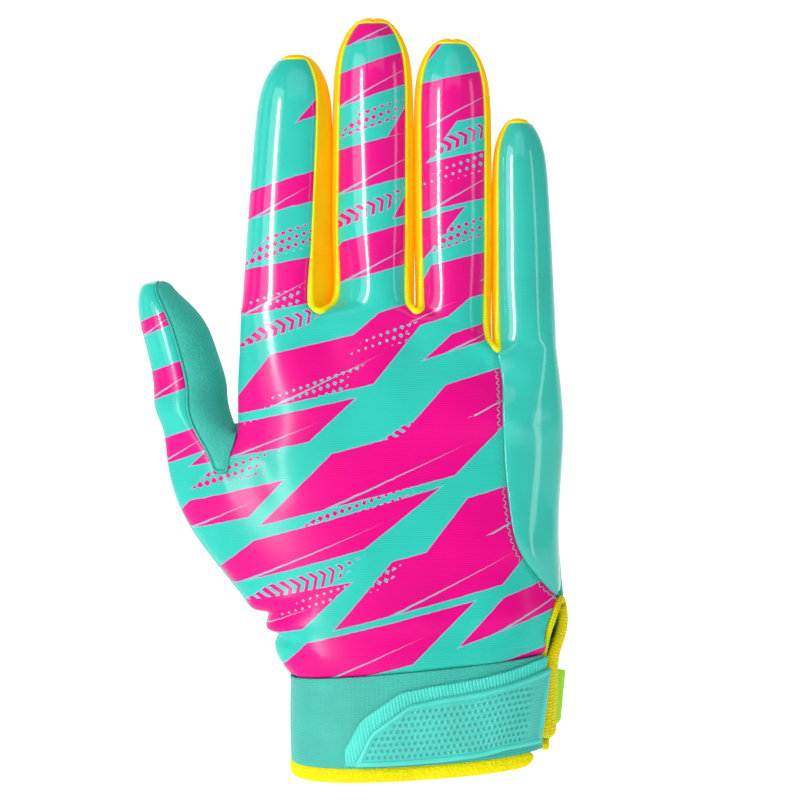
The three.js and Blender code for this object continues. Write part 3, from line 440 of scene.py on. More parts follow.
# Folds of the cloth in millimetres: start x and z, end x and z, width, depth (a groove is
# negative), side of the hand (0 for both)
FOLDS = (
    (-47.2, 49.6, -34.9, 53.2, 1.9, -2.7, 0),
    (-44.4, 43.9, -35.9, 43.4, 1.7, -2.2, 0),
    (-49, 54.5, -36, 57.5, 2.8, 1.1, 0),
    (-45, 46.8, -34, 48.4, 2, 0.9, 0),
    (-41, 38.2, -30, 38.6, 2, -0.4, -1),
    (-36, 58, -20, 63, 3.5, -0.22, -1),
    (-48, 96, -40, 84, 4, -0.35, -1),
    (-50, 104, -44, 92, 3, -0.3, -1),
    (-30, 128, -24, 136, 3, -0.3, -1),
    (-2, 129, -1.5, 138, 3, -0.3, -1),
    (20, 118, 21.5, 127, 3, -0.3, -1),
    (28, 112, 39, 108, 3, -0.25, -1),
    (-40, 74, 22, 88, 3, -0.5, 1),
    (-34, 56, 24, 66, 3, -0.4, 1),
    (-30, 120, 30, 112, 3, -0.5, 1),
    (-38, 92, -26, 62, 4, -0.6, 1),
    (30, 50, 36, 44, 2.5, -0.5, 1),
)


def form_offset(points):
    """How far each point of the form stands out of its smooth surface, in millimetres."""
    x, y, z = points.T
    offset = np.zeros(len(points))
    inward = np.clip(np.abs(y) / (0.3 * PALM_DEPTH), 0, 1)
    inward = inward * inward * (3 - 2 * inward)
    for side, at_x, at_z, wide, tall, height in SWELLINGS:
        far = ((x - at_x * PALM_WIDTH) / (wide * PALM_DEPTH * 2)) ** 2
        far += ((z - at_z * PALM_HEIGHT) / (tall * PALM_DEPTH * 2)) ** 2
        offset += (np.sign(y) == side) * inward * height * PALM_DEPTH * np.exp(-far)
    for x0, z0, x1, z1, width, depth, side in FOLDS:
        along = np.array((x1 - x0, z1 - z0))
        share = ((x - x0) * along[0] + (z - z0) * along[1]) / along.dot(along)
        held = np.clip(share, 0, 1)
        far = np.hypot(x - x0 - held * along[0], z - z0 - held * along[1]) / width
        fade = 1 - 0.8 * held if side == 0 else 1 - np.abs(2 * held - 1) ** 3
        facing = 1 if side == 0 else (np.sign(y) == side) * inward
        offset += facing * fade * depth * np.exp(-far * far)
    return offset


def add_object(name, data):
    thing = bpy.data.objects.new(name, data)
    bpy.context.scene.collection.objects.link(thing)
    return thing


def make_active(piece):
    for other in bpy.context.selected_objects:
        other.select_set(False)
    piece.select_set(True)
    bpy.context.view_layer.objects.active = piece


def new_piece(name, points, faces):
    mesh = bpy.data.meshes.new(name)
    mesh.from_pydata([tuple(c * MM for c in point) for point in points], [], faces)
    mesh.update()
    return add_object(name, mesh)


def apply_modifier(piece, name, kind, **settings):
    make_active(piece)
    modifier = piece.modifiers.new(name, kind)
    for key, value in settings.items():
        setattr(modifier, key, value)
    bpy.ops.object.modifier_apply(modifier=name)


def vertex_values(mesh, kind):
    values = np.empty(3 * len(mesh.vertices))
    mesh.vertices.foreach_get(kind, values)
    return values.reshape(-1, 3)


def coordinates(mesh):
    return vertex_values(mesh, "co") / MM


def normals(mesh):
    return vertex_values(mesh, "normal")


def move_to(mesh, points):
    mesh.vertices.foreach_set("co", (points * MM).ravel())
    mesh.update()


def shade_smooth(piece, angle=None):
    make_active(piece)
    if angle is None:
        bpy.ops.object.shade_smooth()
    else:
        bpy.ops.object.shade_smooth_by_angle(angle=math.radians(angle))


def filled_form():
    build_net()
    form = new_piece("hand_form", fit_through_points(net_points, net_faces), net_faces)
    for name in PANELS:
        form.data.materials.append(bpy.data.materials.new(f"part_{name}"))
    form.data.polygons.foreach_set("material_index", net_panels)
    apply_modifier(form, "smooth", "SUBSURF", levels=3, render_levels=3)
    points = coordinates(form.data)
    move_to(form.data, points + normals(form.data) * form_offset(points)[:, None])
    return form


form = filled_form()
surface = BVHTree.FromPolygons(
    [vertex.co.copy() for vertex in form.data.vertices],
    [tuple(polygon.vertices) for polygon in form.data.polygons])


def split_panels():
    """The form's cloth panels, one object each, in the order of PANELS."""
    make_active(form)
    bpy.ops.object.mode_set(mode="EDIT")
    bpy.ops.mesh.select_all(action="SELECT")
    bpy.ops.mesh.separate(type="MATERIAL")
    bpy.ops.object.mode_set(mode="OBJECT")
    found = {}
    for thing in bpy.context.selected_objects:
        slot = thing.data.polygons[0].material_index
        found[thing.material_slots[slot].material.name.removeprefix("part_")] = thing
    return [found[name] for name in PANELS]


def open_border(mesh):
    return open_neighbours(key for polygon in mesh.polygons for key in polygon.edge_keys)


def border_rings(mesh):
    """The open edges of a mesh as rings of vertex numbers, each ending at its start."""
    near = open_border(mesh)
    rings = []
    left = set(near)
    while left:
        start = left.pop()
        ring = [start]
        step = near[start][0]
        while step in left:
            left.discard(step)
            ring.append(step)
            step = next((n for n in near[step] if n in left), start)
        rings.append([*ring, start])
    return rings


SEAM_TUCK = 0.5
TUCK_BEHIND = 0.12   # share of the tuck that the points next to the edge get


def tuck_border(piece):
    """Turns a panel's edge in, so that a seam is a soft groove."""
    points, out = coordinates(piece.data), normals(piece.data)
    rim = set(open_border(piece.data))
    depth = np.zeros(len(points))
    depth[list(rim)] = SEAM_TUCK
    for edge in piece.data.edges:
        a, b = edge.vertices
        if (a in rim) != (b in rim):
            depth[b if a in rim else a] = SEAM_TUCK * TUCK_BEHIND
    move_to(piece.data, points - out * depth[:, None])


def finish_cloth(piece, name, node, finish, finer=0):
    """Gives a panel its edge, its thickness and its finishes, outside and inside."""
    piece.name = piece.data.name = name
    tuck_border(piece)
    piece.data.materials.clear()
    piece.data.materials.append(finish)
    piece.data.materials.append(lining_finish)
    piece.data.polygons.foreach_set("material_index", [0] * len(piece.data.polygons))
    if finer:
        apply_modifier(piece, "finer", "SUBSURF", levels=finer, render_levels=finer)
    apply_modifier(piece, "thickness", "SOLIDIFY", thickness=CLOTH * MM, offset=-1,
                   material_offset=1, material_offset_rim=0)
    shade_smooth(piece)
    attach(piece, "root")
    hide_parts(node)


# ---- Shapes swept along a path

def walked_lengths(spots):
    """The length along a path at each of its points."""
    steps = np.linalg.norm(np.diff(np.array(spots), axis=0), axis=1)
    return np.concatenate(([0], np.cumsum(steps)))


def sleeve_faces(levels, count, base=0):
    """The faces between rings of points, and one at each end."""
    rings = [range(base + level * count, base + (level + 1) * count) for level in range(levels)]
    sides = [(low[step], low[(step + 1) % count], high[(step + 1) % count], high[step])
             for low, high in zip(rings, rings[1:]) for step in range(count)]
    return [*sides, tuple(reversed(rings[0])), tuple(rings[-1])]


MAP_SCALE = 0.01   # of the pieces' own maps, to a millimetre


def write_map(piece, spots):
    """Gives a piece its own map, from a spot in millimetres for each corner of its faces."""
    uv = piece.data.uv_layers.new(name="cloth_map")
    uv.data.foreach_set("uv", [value * MAP_SCALE for spot in spots for value in spot])


def loft(name, rings, lengths=None):
    """A mesh through rings of points, with its own map: along the sweep, then round the ring."""
    count = len(rings[0])
    points = [point for ring in rings for point in ring]
    piece = new_piece(name, points, sleeve_faces(len(rings), count))
    if lengths is None:
        lengths = walked_lengths([np.mean(ring, axis=0) for ring in rings])
    middle_ring = rings[len(rings) // 2]
    around = walked_lengths([*middle_ring, middle_ring[0]])
    spots = []
    for polygon in piece.data.polygons:
        corners = [divmod(corner, count) for corner in polygon.vertices]
        wraps = len(corners) == 4 and {step for _, step in corners} == {0, count - 1}
        spots += [(lengths[level], around[count if wraps and step == 0 else step])
                  for level, step in corners]
    write_map(piece, spots)
    return piece


def signed_power(value, power):
    return math.copysign(abs(value) ** power, value)


def rounded_section(sides, power, start=0):
    """Points round a section, one out each way: an ellipse, or squarer with a power below 1."""
    turns = [2 * math.pi * (step + start) / sides for step in range(sides)]
    return [(signed_power(math.cos(turn), power), signed_power(math.sin(turn), power))
            for turn in turns]


def rounded_end(index, count, blunt, steps):
    """The share of its full size that a sweep has near its rounded ends."""
    end = min(index, count - 1 - index)
    return math.sqrt(1 - (1 - min(1, (end + blunt) / steps)) ** 2)


def outline_point(angle):
    across, out = math.cos(angle), math.sin(angle)
    power = 2 / SQUARENESS
    depth = WRIST_FRONT if out > 0 else WRIST_REAR
    return Vector((WRIST_MIDDLE + WRIST_HALF * signed_power(across, power),
                   -depth * signed_power(out, power), 0))


def cuff_point(angle, z, lift):
    along = (outline_point(angle + 0.01) - outline_point(angle - 0.01)).normalized()
    point = outline_point(angle) + Vector((-along.y, along.x, 0)) * lift
    point.z = z
    return point


def way_out(angle):
    return cuff_point(angle, 0, 1) - cuff_point(angle, 0, 0)


WALK_ANGLES = np.linspace(-1, 3, 9001)
WALK_LENGTHS = walked_lengths([outline_point(angle) for angle in WALK_ANGLES])
WALK_LENGTHS -= np.interp(0, WALK_ANGLES, WALK_LENGTHS)


def cuff_angle(length):
    """The angle at a length along the wrist's outline, from +X toward the back of the hand."""
    return float(np.interp(length, WALK_LENGTHS, WALK_ANGLES))


SLIT_BACK_ANGLE = math.acos(
    ((HAND_ROWS[0]["seam"] * PALM_WIDTH - WRIST_MIDDLE) / WRIST_HALF) ** (SQUARENESS / 2))
CUFF_START = SLIT_BACK_ANGLE + SEAM_GAP / 2 / WRIST_FRONT
CUFF_END = 2 * math.pi + cuff_angle(-SEAM_GAP / 2)


def round_the_wrist(start, steps):
    """Angles round the wrist at even lengths, and the lengths."""
    fine = np.linspace(start, CUFF_END, 2000)
    walked = walked_lengths([outline_point(angle) for angle in fine])
    even = np.linspace(0, walked[-1], steps + 1)
    return np.interp(even, walked, fine), even


def round_edges(piece, width, segments):
    apply_modifier(piece, "rounding", "BEVEL", width=width * MM, segments=segments,
                   limit_method="ANGLE", angle_limit=math.radians(50))


CUFF_RINGS = 150
CUFF_ROWS = 14
CUFF_LIFT = 0.15
CUFF_CROWN = 0.25
CUFF_UNDER_HEM = 0.5
CUFF_OVER_TOP = 0.3
CUFF_TOP_ROUNDING = 0.5
CUFF_LINING = 0.4 - CUFF_WALL


def make_cuff():
    angles, lengths = round_the_wrist(CUFF_START, CUFF_RINGS)
    rings = []
    for angle in angles:
        base = outline_point(angle)
        low = hem_top_at(base.x, base.y) - CUFF_UNDER_HEM
        high = cuff_top_at(base.x) + CUFF_OVER_TOP
        ring = []
        for step in range(CUFF_ROWS + 1):
            share = step / CUFF_ROWS
            swell = math.sin(math.pi * share) + smooth((share - 0.9) * 10)
            ring.append(cuff_point(angle, mix(low, high, share), CUFF_LIFT + CUFF_CROWN * swell))
        for z, lift in ((high, -0.2), (high - CUFF_TOP_ROUNDING, CUFF_LINING), (low, CUFF_LINING)):
            ring.append(cuff_point(angle, z, lift))
        rings.append(ring)
    piece = loft("elastic_cuff", rings, lengths)
    round_edges(piece, 0.2, 2)
    shade_smooth(piece, 40)
    return piece


HEM_SET_BACK = 3   # from the slit, where the hem starts
HEM_RINGS = 170
HEM_SECTION = rounded_section(20, 0.8, 0.5)
HEM_LIFT = 0.15 - 0.6 * CUFF_WALL


def make_hem():
    angles, lengths = round_the_wrist(CUFF_START + HEM_SET_BACK / WRIST_FRONT, HEM_RINGS)
    rings = []
    for index, angle in enumerate(angles):
        shrink = rounded_end(index, len(angles), 0.35, 5)
        edge = outline_point(angle)
        middle = hem_top_at(edge.x, edge.y) - HEM_HEIGHT / 2
        rings.append([cuff_point(angle, middle + up * HEM_HEIGHT / 2 * shrink,
                                 across * HEM_THICKNESS / 2 * shrink + HEM_LIFT)
                      for across, up in HEM_SECTION])
    piece = loft("padded_hem", rings, lengths)
    shade_smooth(piece)
    return piece


# The strap's outline: reach along it, bottom and top, as shares of its length and height
STRAP_ROWS = (
    (0, 0, 0.06), (0.073, 0, 0.47), (0.265, 0, 0.835), (0.44, 0.01, 0.9), (0.62, 0.03, 0.94),
    (0.76, 0.07, 0.993), (0.9, 0.07, 1.065), (1, 0.07, 1.09),
)


CORNER_STEPS = (-0.018, -0.009, 0, 0.009, 0.018)


def strap_edges(reach):
    """The strap's bottom and top at a place along it, with soft corners."""
    reaches, bottoms, tops = zip(*STRAP_ROWS)
    near = [min(1, max(0, reach + step)) for step in CORNER_STEPS]
    return [float(np.mean(np.interp(near, reaches, values))) for values in (bottoms, tops)]


def spaced(length, insets, steps):
    """Places along a length: some at set insets from both ends, the rest even between them."""
    inner = np.linspace(insets[-1], length - insets[-1], steps)
    return [*insets[:-1], *inner, *(length - inset for inset in reversed(insets[:-1]))]


def inset_rows(height, steep, insets, steps):
    """Heights from a strap's lower edge to its upper one, which rises or falls along it."""
    most, last = height * 0.45, insets[-1]
    low = [min(inset, most * inset / last) for inset in insets[:-1]]
    high = [height - min(inset * steep, most * inset / last) for inset in reversed(insets[:-1])]
    return [*low, *np.linspace(min(last, most), height - min(last * steep, most), steps), *high]


def wave(place):
    return 0.5 + 0.5 * math.cos(2 * math.pi * place)


END_SLANT = 4.2
SLANT_START = 0.55
SPOT_STEPS = 4


def strap_spots(u, length):
    """Places on the cuff and ways out of it, from the strap's bottom to its top, u along it."""
    slant = END_SLANT * smooth((u / length - SLANT_START) / (1 - SLANT_START))
    spots = []
    for step in range(SPOT_STEPS + 1):
        lean = slant * (1 - step / SPOT_STEPS)
        angle = cuff_angle(SEWN_WIDTH + 2 * SEAM_GAP + length - u + lean)
        spots.append([*cuff_point(angle, 0, 0), *way_out(angle)])
    return np.array(spots)


def strap_sheet(name, grow, lift, insets, relief, across, along):
    """A sheet over the cuff in the strap's outline, with a relief of place and border distance."""
    length = STRAP_LENGTH + grow
    columns = spaced(length, insets, along)
    points, places, depths = [], [], []
    for u in columns:
        reach = u / length
        spots = strap_spots(u, length)
        bottom, top = strap_edges(reach)
        rise = strap_edges(min(1, reach + 0.01))[1] - strap_edges(max(0, reach - 0.01))[1]
        steep = math.hypot(1, rise * STRAP_HEIGHT / (0.02 * length))
        low = bottom * STRAP_HEIGHT
        height = top * STRAP_HEIGHT + grow - low
        floor = hem_top_at(*spots[SPOT_STEPS // 2][:2]) + SEAM_GAP + low
        for v in inset_rows(height, steep, insets, across):
            depth = relief(min(v, (height - v) / steep, u, length - u), u, v)
            step, share = divmod(min(v / height, 0.9999) * SPOT_STEPS, 1)
            row = mix(spots[int(step)], spots[int(step) + 1], share)
            spot = Vector(row[:3]) + Vector(row[3:]) * (lift + depth)
            points.append(spot + Vector((0, 0, floor + v)))
            places.append((u, v))
            depths.append(depth)
    count = len(points) // len(columns)
    faces = [(c * count + r, (c + 1) * count + r, (c + 1) * count + r + 1, c * count + r + 1)
             for c in range(len(columns) - 1) for r in range(count - 1)]
    piece = new_piece(name, points, faces)
    write_map(piece, [places[loop.vertex_index] for loop in piece.data.loops])
    piece.data.attributes.new("depth", "FLOAT", "POINT").data.foreach_set("value", depths)
    return piece


PATCH_LIFT = STRAP_LIFT + STRAP_WALL + SEAM_GAP + PATCH_WALL
DIMPLE_PITCH = 1.75
DIMPLE_ROWS = 1.85
DIMPLES_END = 51
DIMPLE_SHAPE = (2.1, 3.2)   # along and across: the larger, the narrower the dimple
DIMPLE_DEPTH = 0.42
FIELD_DEPTH = 0.42
FRAME_WIDTH = 1.35   # from the border to where the frame falls to the field
LINE_PITCH = 0.9
LINE_SHARE = 0.35   # how deep the lines at the sewn end are, as a share of the dimples
PATCH_BEVEL = 0.75
RIB_HEIGHT = 0.24
RIB_SLANT = 0.18
BAND_BEVEL = 0.35
# Distances from the border at which the sheets have rows of points, for their bevels
BAND_INSETS = (0, 0.25, 0.5, 0.8)
PATCH_INSETS = (0, 0.2, 0.4, 0.6, 0.9, 1.3, 1.5, 1.7, 2)


def band_relief(border, u, v):
    """Ribs across the band's border, flatter at its tip."""
    ribs = RIB_HEIGHT * wave(u + RIB_SLANT * v) * mix(0.3, 1, smooth((u - 5) / 16))
    return -BAND_BEVEL * (1 - smooth(border / 0.5)) + ribs * smooth(border / 0.4)


def patch_relief(border, u, v):
    """A bevelled frame round a lower field of dimples, with fine lines at the sewn end."""
    row = v / DIMPLE_ROWS
    column = u / DIMPLE_PITCH + 0.5 * (math.floor(row) % 2)
    far = math.hypot((column % 1 - 0.5) * DIMPLE_SHAPE[0], (row % 1 - 0.5) * DIMPLE_SHAPE[1])
    late = smooth((u - DIMPLES_END) / 4)
    dimple = (1 - smooth((far - 0.45) / 0.6)) * (1 - late)
    line = wave(v / LINE_PITCH) * late * LINE_SHARE
    rise = -PATCH_BEVEL * (1 - smooth(border / 0.55))
    rise -= FIELD_DEPTH * smooth((border - FRAME_WIDTH) / 0.35)
    return rise - DIMPLE_DEPTH * smooth((border - 2) / 0.5) * max(dimple, line)


def make_strap():
    band = strap_sheet("strap_band", RIB_BAND, STRAP_LIFT + STRAP_WALL, BAND_INSETS, band_relief,
                       across=22, along=420)
    patch = strap_sheet("strap_patch_moulding", 0, PATCH_LIFT, PATCH_INSETS, patch_relief,
                        across=72, along=250)
    for piece, wall in ((band, STRAP_WALL), (patch, PATCH_WALL)):
        apply_modifier(piece, "thickness", "SOLIDIFY", thickness=wall * MM, offset=-1)
        shade_smooth(piece, 50)
    return band, patch


TAB_BELOW_TOP = 1.6
TAB_FLARE = (5.4, 7.2)   # how far its end stands out, at its bottom and top
TAB_DROP = 2.6
TAB_RISE = 0.6
TAB_STEPS = 14
TAB_ROWS = 10


def make_tab():
    """A folded tape that stands out from the strap's sewn end and sags a little."""
    low_z = CUFF_TOP_HEIGHT - TAB_BELOW_TOP - TAB_HEIGHT
    walls = [(row / TAB_ROWS, TAB_WALL) for row in reversed(range(TAB_ROWS + 1))]
    walls += [(row / TAB_ROWS, 0) for row in range(TAB_ROWS + 1)]
    rings = []
    for step in range(TAB_STEPS + 1):
        share = step / TAB_STEPS
        angle = cuff_angle(-SEAM_GAP - share * TAB_LENGTH)
        ring = []
        for high, wall in walls:
            bend = mix(*TAB_FLARE, high) * mix(share, share ** 2, 0.25)
            drop = share * (TAB_DROP * high - TAB_RISE * (1 - high))
            ring.append(cuff_point(angle, low_z + high * TAB_HEIGHT - drop,
                                   SEAM_GAP + bend + wall))
        rings.append(ring)
    piece = loft("pull_tab_tape", rings)
    round_edges(piece, 0.35, 3)
    shade_smooth(piece, 50)
    return piece


def resample(rows, walked, count):
    """Rows of values at even lengths along a path."""
    even = np.linspace(0, walked[-1], count)
    return np.column_stack([np.interp(even, walked, column) for column in np.array(rows).T])


def through(points, count, fineness=12):
    """Even points on a smooth curve through the given ones."""
    ends = [points[0] * 2 - points[1], *points, points[-1] * 2 - points[-2]]
    fine = []
    for a, b, c, d in zip(ends, ends[1:], ends[2:], ends[3:]):
        for step in range(fineness):
            t = step / fineness
            fine.append(0.5 * ((2 * b) + (c - a) * t + (2 * a - 5 * b + 4 * c - d) * t * t
                               + (3 * b - a - 3 * c + d) * t ** 3))
    fine.append(points[-1])
    return [Vector(row) for row in resample(fine, walked_lengths(fine), count)]


def slit_rim():
    """The open edge of the net round the slit, with the way out of the cloth at each point."""
    near = open_border(rim_source)
    spots, outs = ([Vector(row) for row in rows]
                   for rows in (coordinates(rim_source), normals(rim_source)))
    start, stop = (min(near, key=lambda i: (spots[i] - Vector(end)).length) for end in rim_ends)
    path = [start, max(near[start], key=lambda i: spots[i].z)]
    while path[-1] != stop:
        path.append(next(n for n in near[path[-1]] if n != path[-2]))
    return [(spots[i], outs[i]) for i in path]


def cuff_stop(angle, rise, proud, width):
    base = outline_point(angle)
    low = hem_top_at(base.x, base.y) + BINDING_WIDTH / 2
    edge = cuff_point(angle, mix(low, cuff_top_at(base.x), rise), 0)
    return edge, way_out(angle), proud, width


def soften(points, rounds):
    """Evens out a path, with its ends held."""
    points = np.array(points, float)
    for _ in range(rounds):
        points[1:-1] = (points[:-2] + 2 * points[1:-1] + points[2:]) / 4
    return [Vector(point) for point in points]


EDGING_RISE = 0.3   # share of the slit's open edge over which it rises out of the cloth or widens
EDGING_LOW = 0.78   # share of the patch's lift that it stands out by at the hem
NARROW_WIDTH = 1.9
EDGING_RINGS = 180
EDGING_SOFTENING = 60   # rounds for its path and its ways out, and half of them for its sizes
EDGING_SECTION = rounded_section(24, 0.75)


def edging_bends():
    """How far the cuff's outline runs across and falls away, at lengths from its sewn edge."""
    start, out = cuff_point(0, 0, 0), way_out(0)
    lengths = np.linspace(-1, 14, 46)
    ways = [cuff_point(cuff_angle(length), 0, 0) - start for length in lengths]
    falls = [way.dot(out) for way in ways]
    runs = [math.copysign((way - out * fall).length, length)
            for way, fall, length in zip(ways, falls, lengths)]
    return lengths, runs, falls


def edging_stops():
    """The edging's path: up the cuff's cut edge, round the open slit and down the sewn edge."""
    rim = slit_rim()[1:-1:4]
    rises = (0, 0.3, 0.6, 0.9)
    stops = [cuff_stop(SLIT_BACK_ANGLE, rise, -BINDING_TUCK, NARROW_WIDTH) for rise in rises]
    for step, (spot, out) in enumerate(rim):
        share = step / (len(rim) - 1)
        proud = mix(-BINDING_TUCK, BINDING_PROUD, smooth(share / EDGING_RISE))
        proud += (PATCH_LIFT - BINDING_PROUD) * smooth((share - 0.45) / 0.55)
        width = mix(NARROW_WIDTH, SEWN_WIDTH_ABOVE, smooth((share - 0.5) / EDGING_RISE))
        stops.append((spot, out, proud, width))
    return stops + [cuff_stop(0, rise, PATCH_LIFT * mix(EDGING_LOW, 1, rise),
                              SEWN_WIDTH + END_SLANT * (1 - rise)) for rise in reversed(rises)]


def side_way(points, index, out):
    """The way across a path, square to the way out of the cloth."""
    before, after = points[max(0, index - 1)], points[min(len(points) - 1, index + 1)]
    return (after - before).cross(out).normalized()


def make_edging():
    spots, outs, prouds, widths = zip(*edging_stops())
    walked = walked_lengths(spots)
    edges = soften(through(spots, EDGING_RINGS), EDGING_SOFTENING)
    outs = resample([out.normalized() for out in outs], walked, EDGING_RINGS)
    outs = soften(outs, EDGING_SOFTENING)
    sizes = np.column_stack((prouds, widths, np.zeros(len(widths))))
    sizes = soften(resample(sizes, walked, EDGING_RINGS), EDGING_SOFTENING // 2)
    lengths, runs, falls = edging_bends()
    rings = []
    for index, (edge, out, (proud, width, _)) in enumerate(zip(edges, outs, sizes)):
        out = out.normalized()
        side = side_way(edges, index, out)
        shrink = rounded_end(index, EDGING_RINGS, 0.3, 4)
        sewn = smooth((index / EDGING_RINGS - 0.5) / 0.2)
        thickness = max(BINDING_THICKNESS, proud + BINDING_TUCK)
        ring = []
        for up, across in EDGING_SECTION:
            far = (width + SEAM_GAP + across * shrink * width) / 2
            run = mix(far, float(np.interp(far, lengths, runs)), sewn)
            drop = (up * shrink - 1) / 2 * thickness + sewn * float(np.interp(far, lengths, falls))
            ring.append(edge + side * run + out * (proud + drop))
        rings.append(ring)
    piece = loft("slit_edging", rings)
    shade_smooth(piece)
    return piece


TUBE_END = 0.45   # share of its radius that a tube has at its ends
STITCH_SIDES = 6


def tube(points, outs, radii, sides):
    """Rings round a path, for a rolled edge or a thread."""
    rings = []
    for index, (spot, out, radius) in enumerate(zip(points, outs, radii)):
        out = out.normalized()
        side = side_way(points, index, out)
        size = radius * (TUBE_END if index in (0, len(points) - 1) else 1)
        turns = [2 * math.pi * step / sides for step in range(sides)]
        rings.append([spot + (out * math.cos(turn) + side * math.sin(turn)) * size
                      for turn in turns])
    return rings


def nearest_on_form(spot):
    """The form's nearest place, and the way out of it."""
    found, out, _, _ = surface.find_nearest(spot * MM)
    return found / MM, out


def spot_key(spot):
    return tuple(np.round(spot, 3))


def rim_keys(piece):
    spots = coordinates(piece.data)
    return {spot_key(spots[index]) for index in open_border(piece.data)}


SHORTEST_RUN = 8   # points; shorter stretches are corners where pieces only meet


def shared_runs(piece, keys):
    """The stretches of a piece's border that lie on other pieces' borders, as paths of points."""
    spots = coordinates(piece.data)
    runs = []
    for ring in border_rings(piece.data):
        marks = [spot_key(spots[index]) in keys for index in ring[:-1]]
        if all(marks):
            runs.append([Vector(spots[index]) for index in ring])
            continue
        start = marks.index(False)
        run = []
        for step in range(len(marks) + 1):
            index = (start + step) % len(marks)
            if marks[index]:
                run.append(Vector(spots[ring[index]]))
            elif run:
                runs.append(run)
                run = []
    return [run for run in runs if len(run) > SHORTEST_RUN]


def along_path(run, pitch):
    count = max(6, int(walked_lengths(run)[-1] / pitch))
    return soften(through(run[::2] + [run[-1]], count), 3)


EDGE_PITCH = 0.8
RISE_TAPER = 22   # height over which a rolled edge thins from its lowest place up
END_TAPER = 7   # length over which it thins to half toward each end


def rolled_edge(name, run, low, high, sink):
    """A round cord laid over a seam, thinner from its lowest place up and toward its ends."""
    path = along_path(run, EDGE_PITCH)
    path = [path[0] * 2 - path[1], *path, path[-1] * 2 - path[-2]]
    spots, outs = zip(*(nearest_on_form(spot) for spot in path))
    outs = soften(outs, 3)
    bottom, last = min(spot.z for spot in path), len(path) - 1
    radii = [mix(low, high, smooth((spot.z - bottom) / RISE_TAPER))
             * mix(0.5, 1, smooth(min(step, last - step) * EDGE_PITCH / END_TAPER))
             for step, spot in enumerate(path)]
    sunk = [spot - out.normalized() * sink for spot, out in zip(spots, outs)]
    return loft(name, tube(sunk, outs, radii, 12))


def join_to(piece, extra, finish):
    extra.data.materials.append(finish)
    shade_smooth(extra)
    make_active(piece)
    extra.select_set(True)
    bpy.ops.object.join()


def seam_stitches(name, run, near, far, pitch, radius, finish):
    """A zigzag of short threads beside a seam, on the thumb's side of it."""
    path = along_path(run, pitch)
    spots = []
    for index, spot in enumerate(path):
        side = side_way(path, index, nearest_on_form(spot)[1])
        side *= -math.copysign(near if index % 2 else far, side.x)
        spots.append(nearest_on_form(spot + side))
    points, faces = [], []
    for (start, out), (end, _) in zip(spots, spots[1:]):
        middle = (start + end) / 2 + out * radius * 1.2
        thread = [mix(start, middle, 0.15), middle, mix(end, middle, 0.15)]
        faces += sleeve_faces(len(thread), STITCH_SIDES, len(points))
        for ring in tube(thread, [out] * 3, [radius] * 3, STITCH_SIDES):
            points += ring
    piece = new_piece(name, points, faces)
    piece.data.materials.append(finish)
    shade_smooth(piece)
    return piece


# ---- Node helpers

def link(tree, value, socket):
    if isinstance(value, bpy.types.NodeSocket):
        tree.links.new(value, socket)
    elif value is not None:
        socket.default_value = value


def math_node(tree, operation, *values):
    node = tree.nodes.new("ShaderNodeMath")
    node.operation = operation
    for value, socket in zip(values, node.inputs):
        link(tree, value, socket)
    return node.outputs[0]


def combined(tree, operation, values):
    """One value from several, two at a time."""
    total, *others = values
    for value in others:
        total = math_node(tree, operation, total, value)
    return total


def vector_node(tree, operation, *values, scale=None):
    node = tree.nodes.new("ShaderNodeVectorMath")
    node.operation = operation
    for value, socket in zip(values, node.inputs):
        link(tree, value, socket)
    if scale is not None:
        node.inputs["Scale"].default_value = scale
    return node.outputs["Value" if operation == "DOT_PRODUCT" else "Vector"]


def ramp(tree, value, low, high, to_low=0.0, to_high=1.0):
    """A soft step from to_low to to_high as the value goes from low to high."""
    node = tree.nodes.new("ShaderNodeMapRange")
    node.interpolation_type = "SMOOTHSTEP"
    for item, socket in zip((value, low, high, to_low, to_high), node.inputs):
        link(tree, item, socket)
    return node.outputs[0]


def mix_colour(tree, share, first, second, blend="MIX"):
    node = tree.nodes.new("ShaderNodeMix")
    node.data_type = "RGBA"
    node.blend_type = blend
    for value, socket in ((share, "Factor"), (first, 6), (second, 7)):
        link(tree, value, node.inputs[socket])
    return node.outputs[2]


def noise(tree, place_socket, scale, detail, rough=0.5):
    node = tree.nodes.new("ShaderNodeTexNoise")
    link(tree, place_socket, node.inputs["Vector"])
    for title, value in (("Scale", scale), ("Detail", detail), ("Roughness", rough)):
        node.inputs[title].default_value = value
    return node.outputs["Fac"]


def parts_of(tree, vector):
    node = tree.nodes.new("ShaderNodeSeparateXYZ")
    link(tree, vector, node.inputs[0])
    return node.outputs


def from_parts(tree, x, y, z):
    node = tree.nodes.new("ShaderNodeCombineXYZ")
    for value, socket in zip((x, y, z), node.inputs):
        link(tree, value, socket)
    return node.outputs[0]


FLOAT, VECTOR = "NodeSocketFloat", "NodeSocketVector"


def new_group(name, inputs, outputs):
    """A node group with named inputs (name, kind, value) and outputs, with their sockets inside."""
    tree = bpy.data.node_groups.new(name, "ShaderNodeTree")
    for title, kind, value in inputs:
        socket = tree.interface.new_socket(title, in_out="INPUT", socket_type=kind)
        if value is not None:
            socket.default_value = value
    for title in outputs:
        tree.interface.new_socket(title, in_out="OUTPUT", socket_type=FLOAT)
    start = tree.nodes.new("NodeGroupInput")
    end = tree.nodes.new("NodeGroupOutput")
    return tree, start.outputs, end.inputs


def use_group(tree, group, **values):
    node = tree.nodes.new("ShaderNodeGroup")
    node.node_tree = group
    for title, value in values.items():
        link(tree, value, node.inputs[title.replace("_", " ").capitalize()])
    return node.outputs


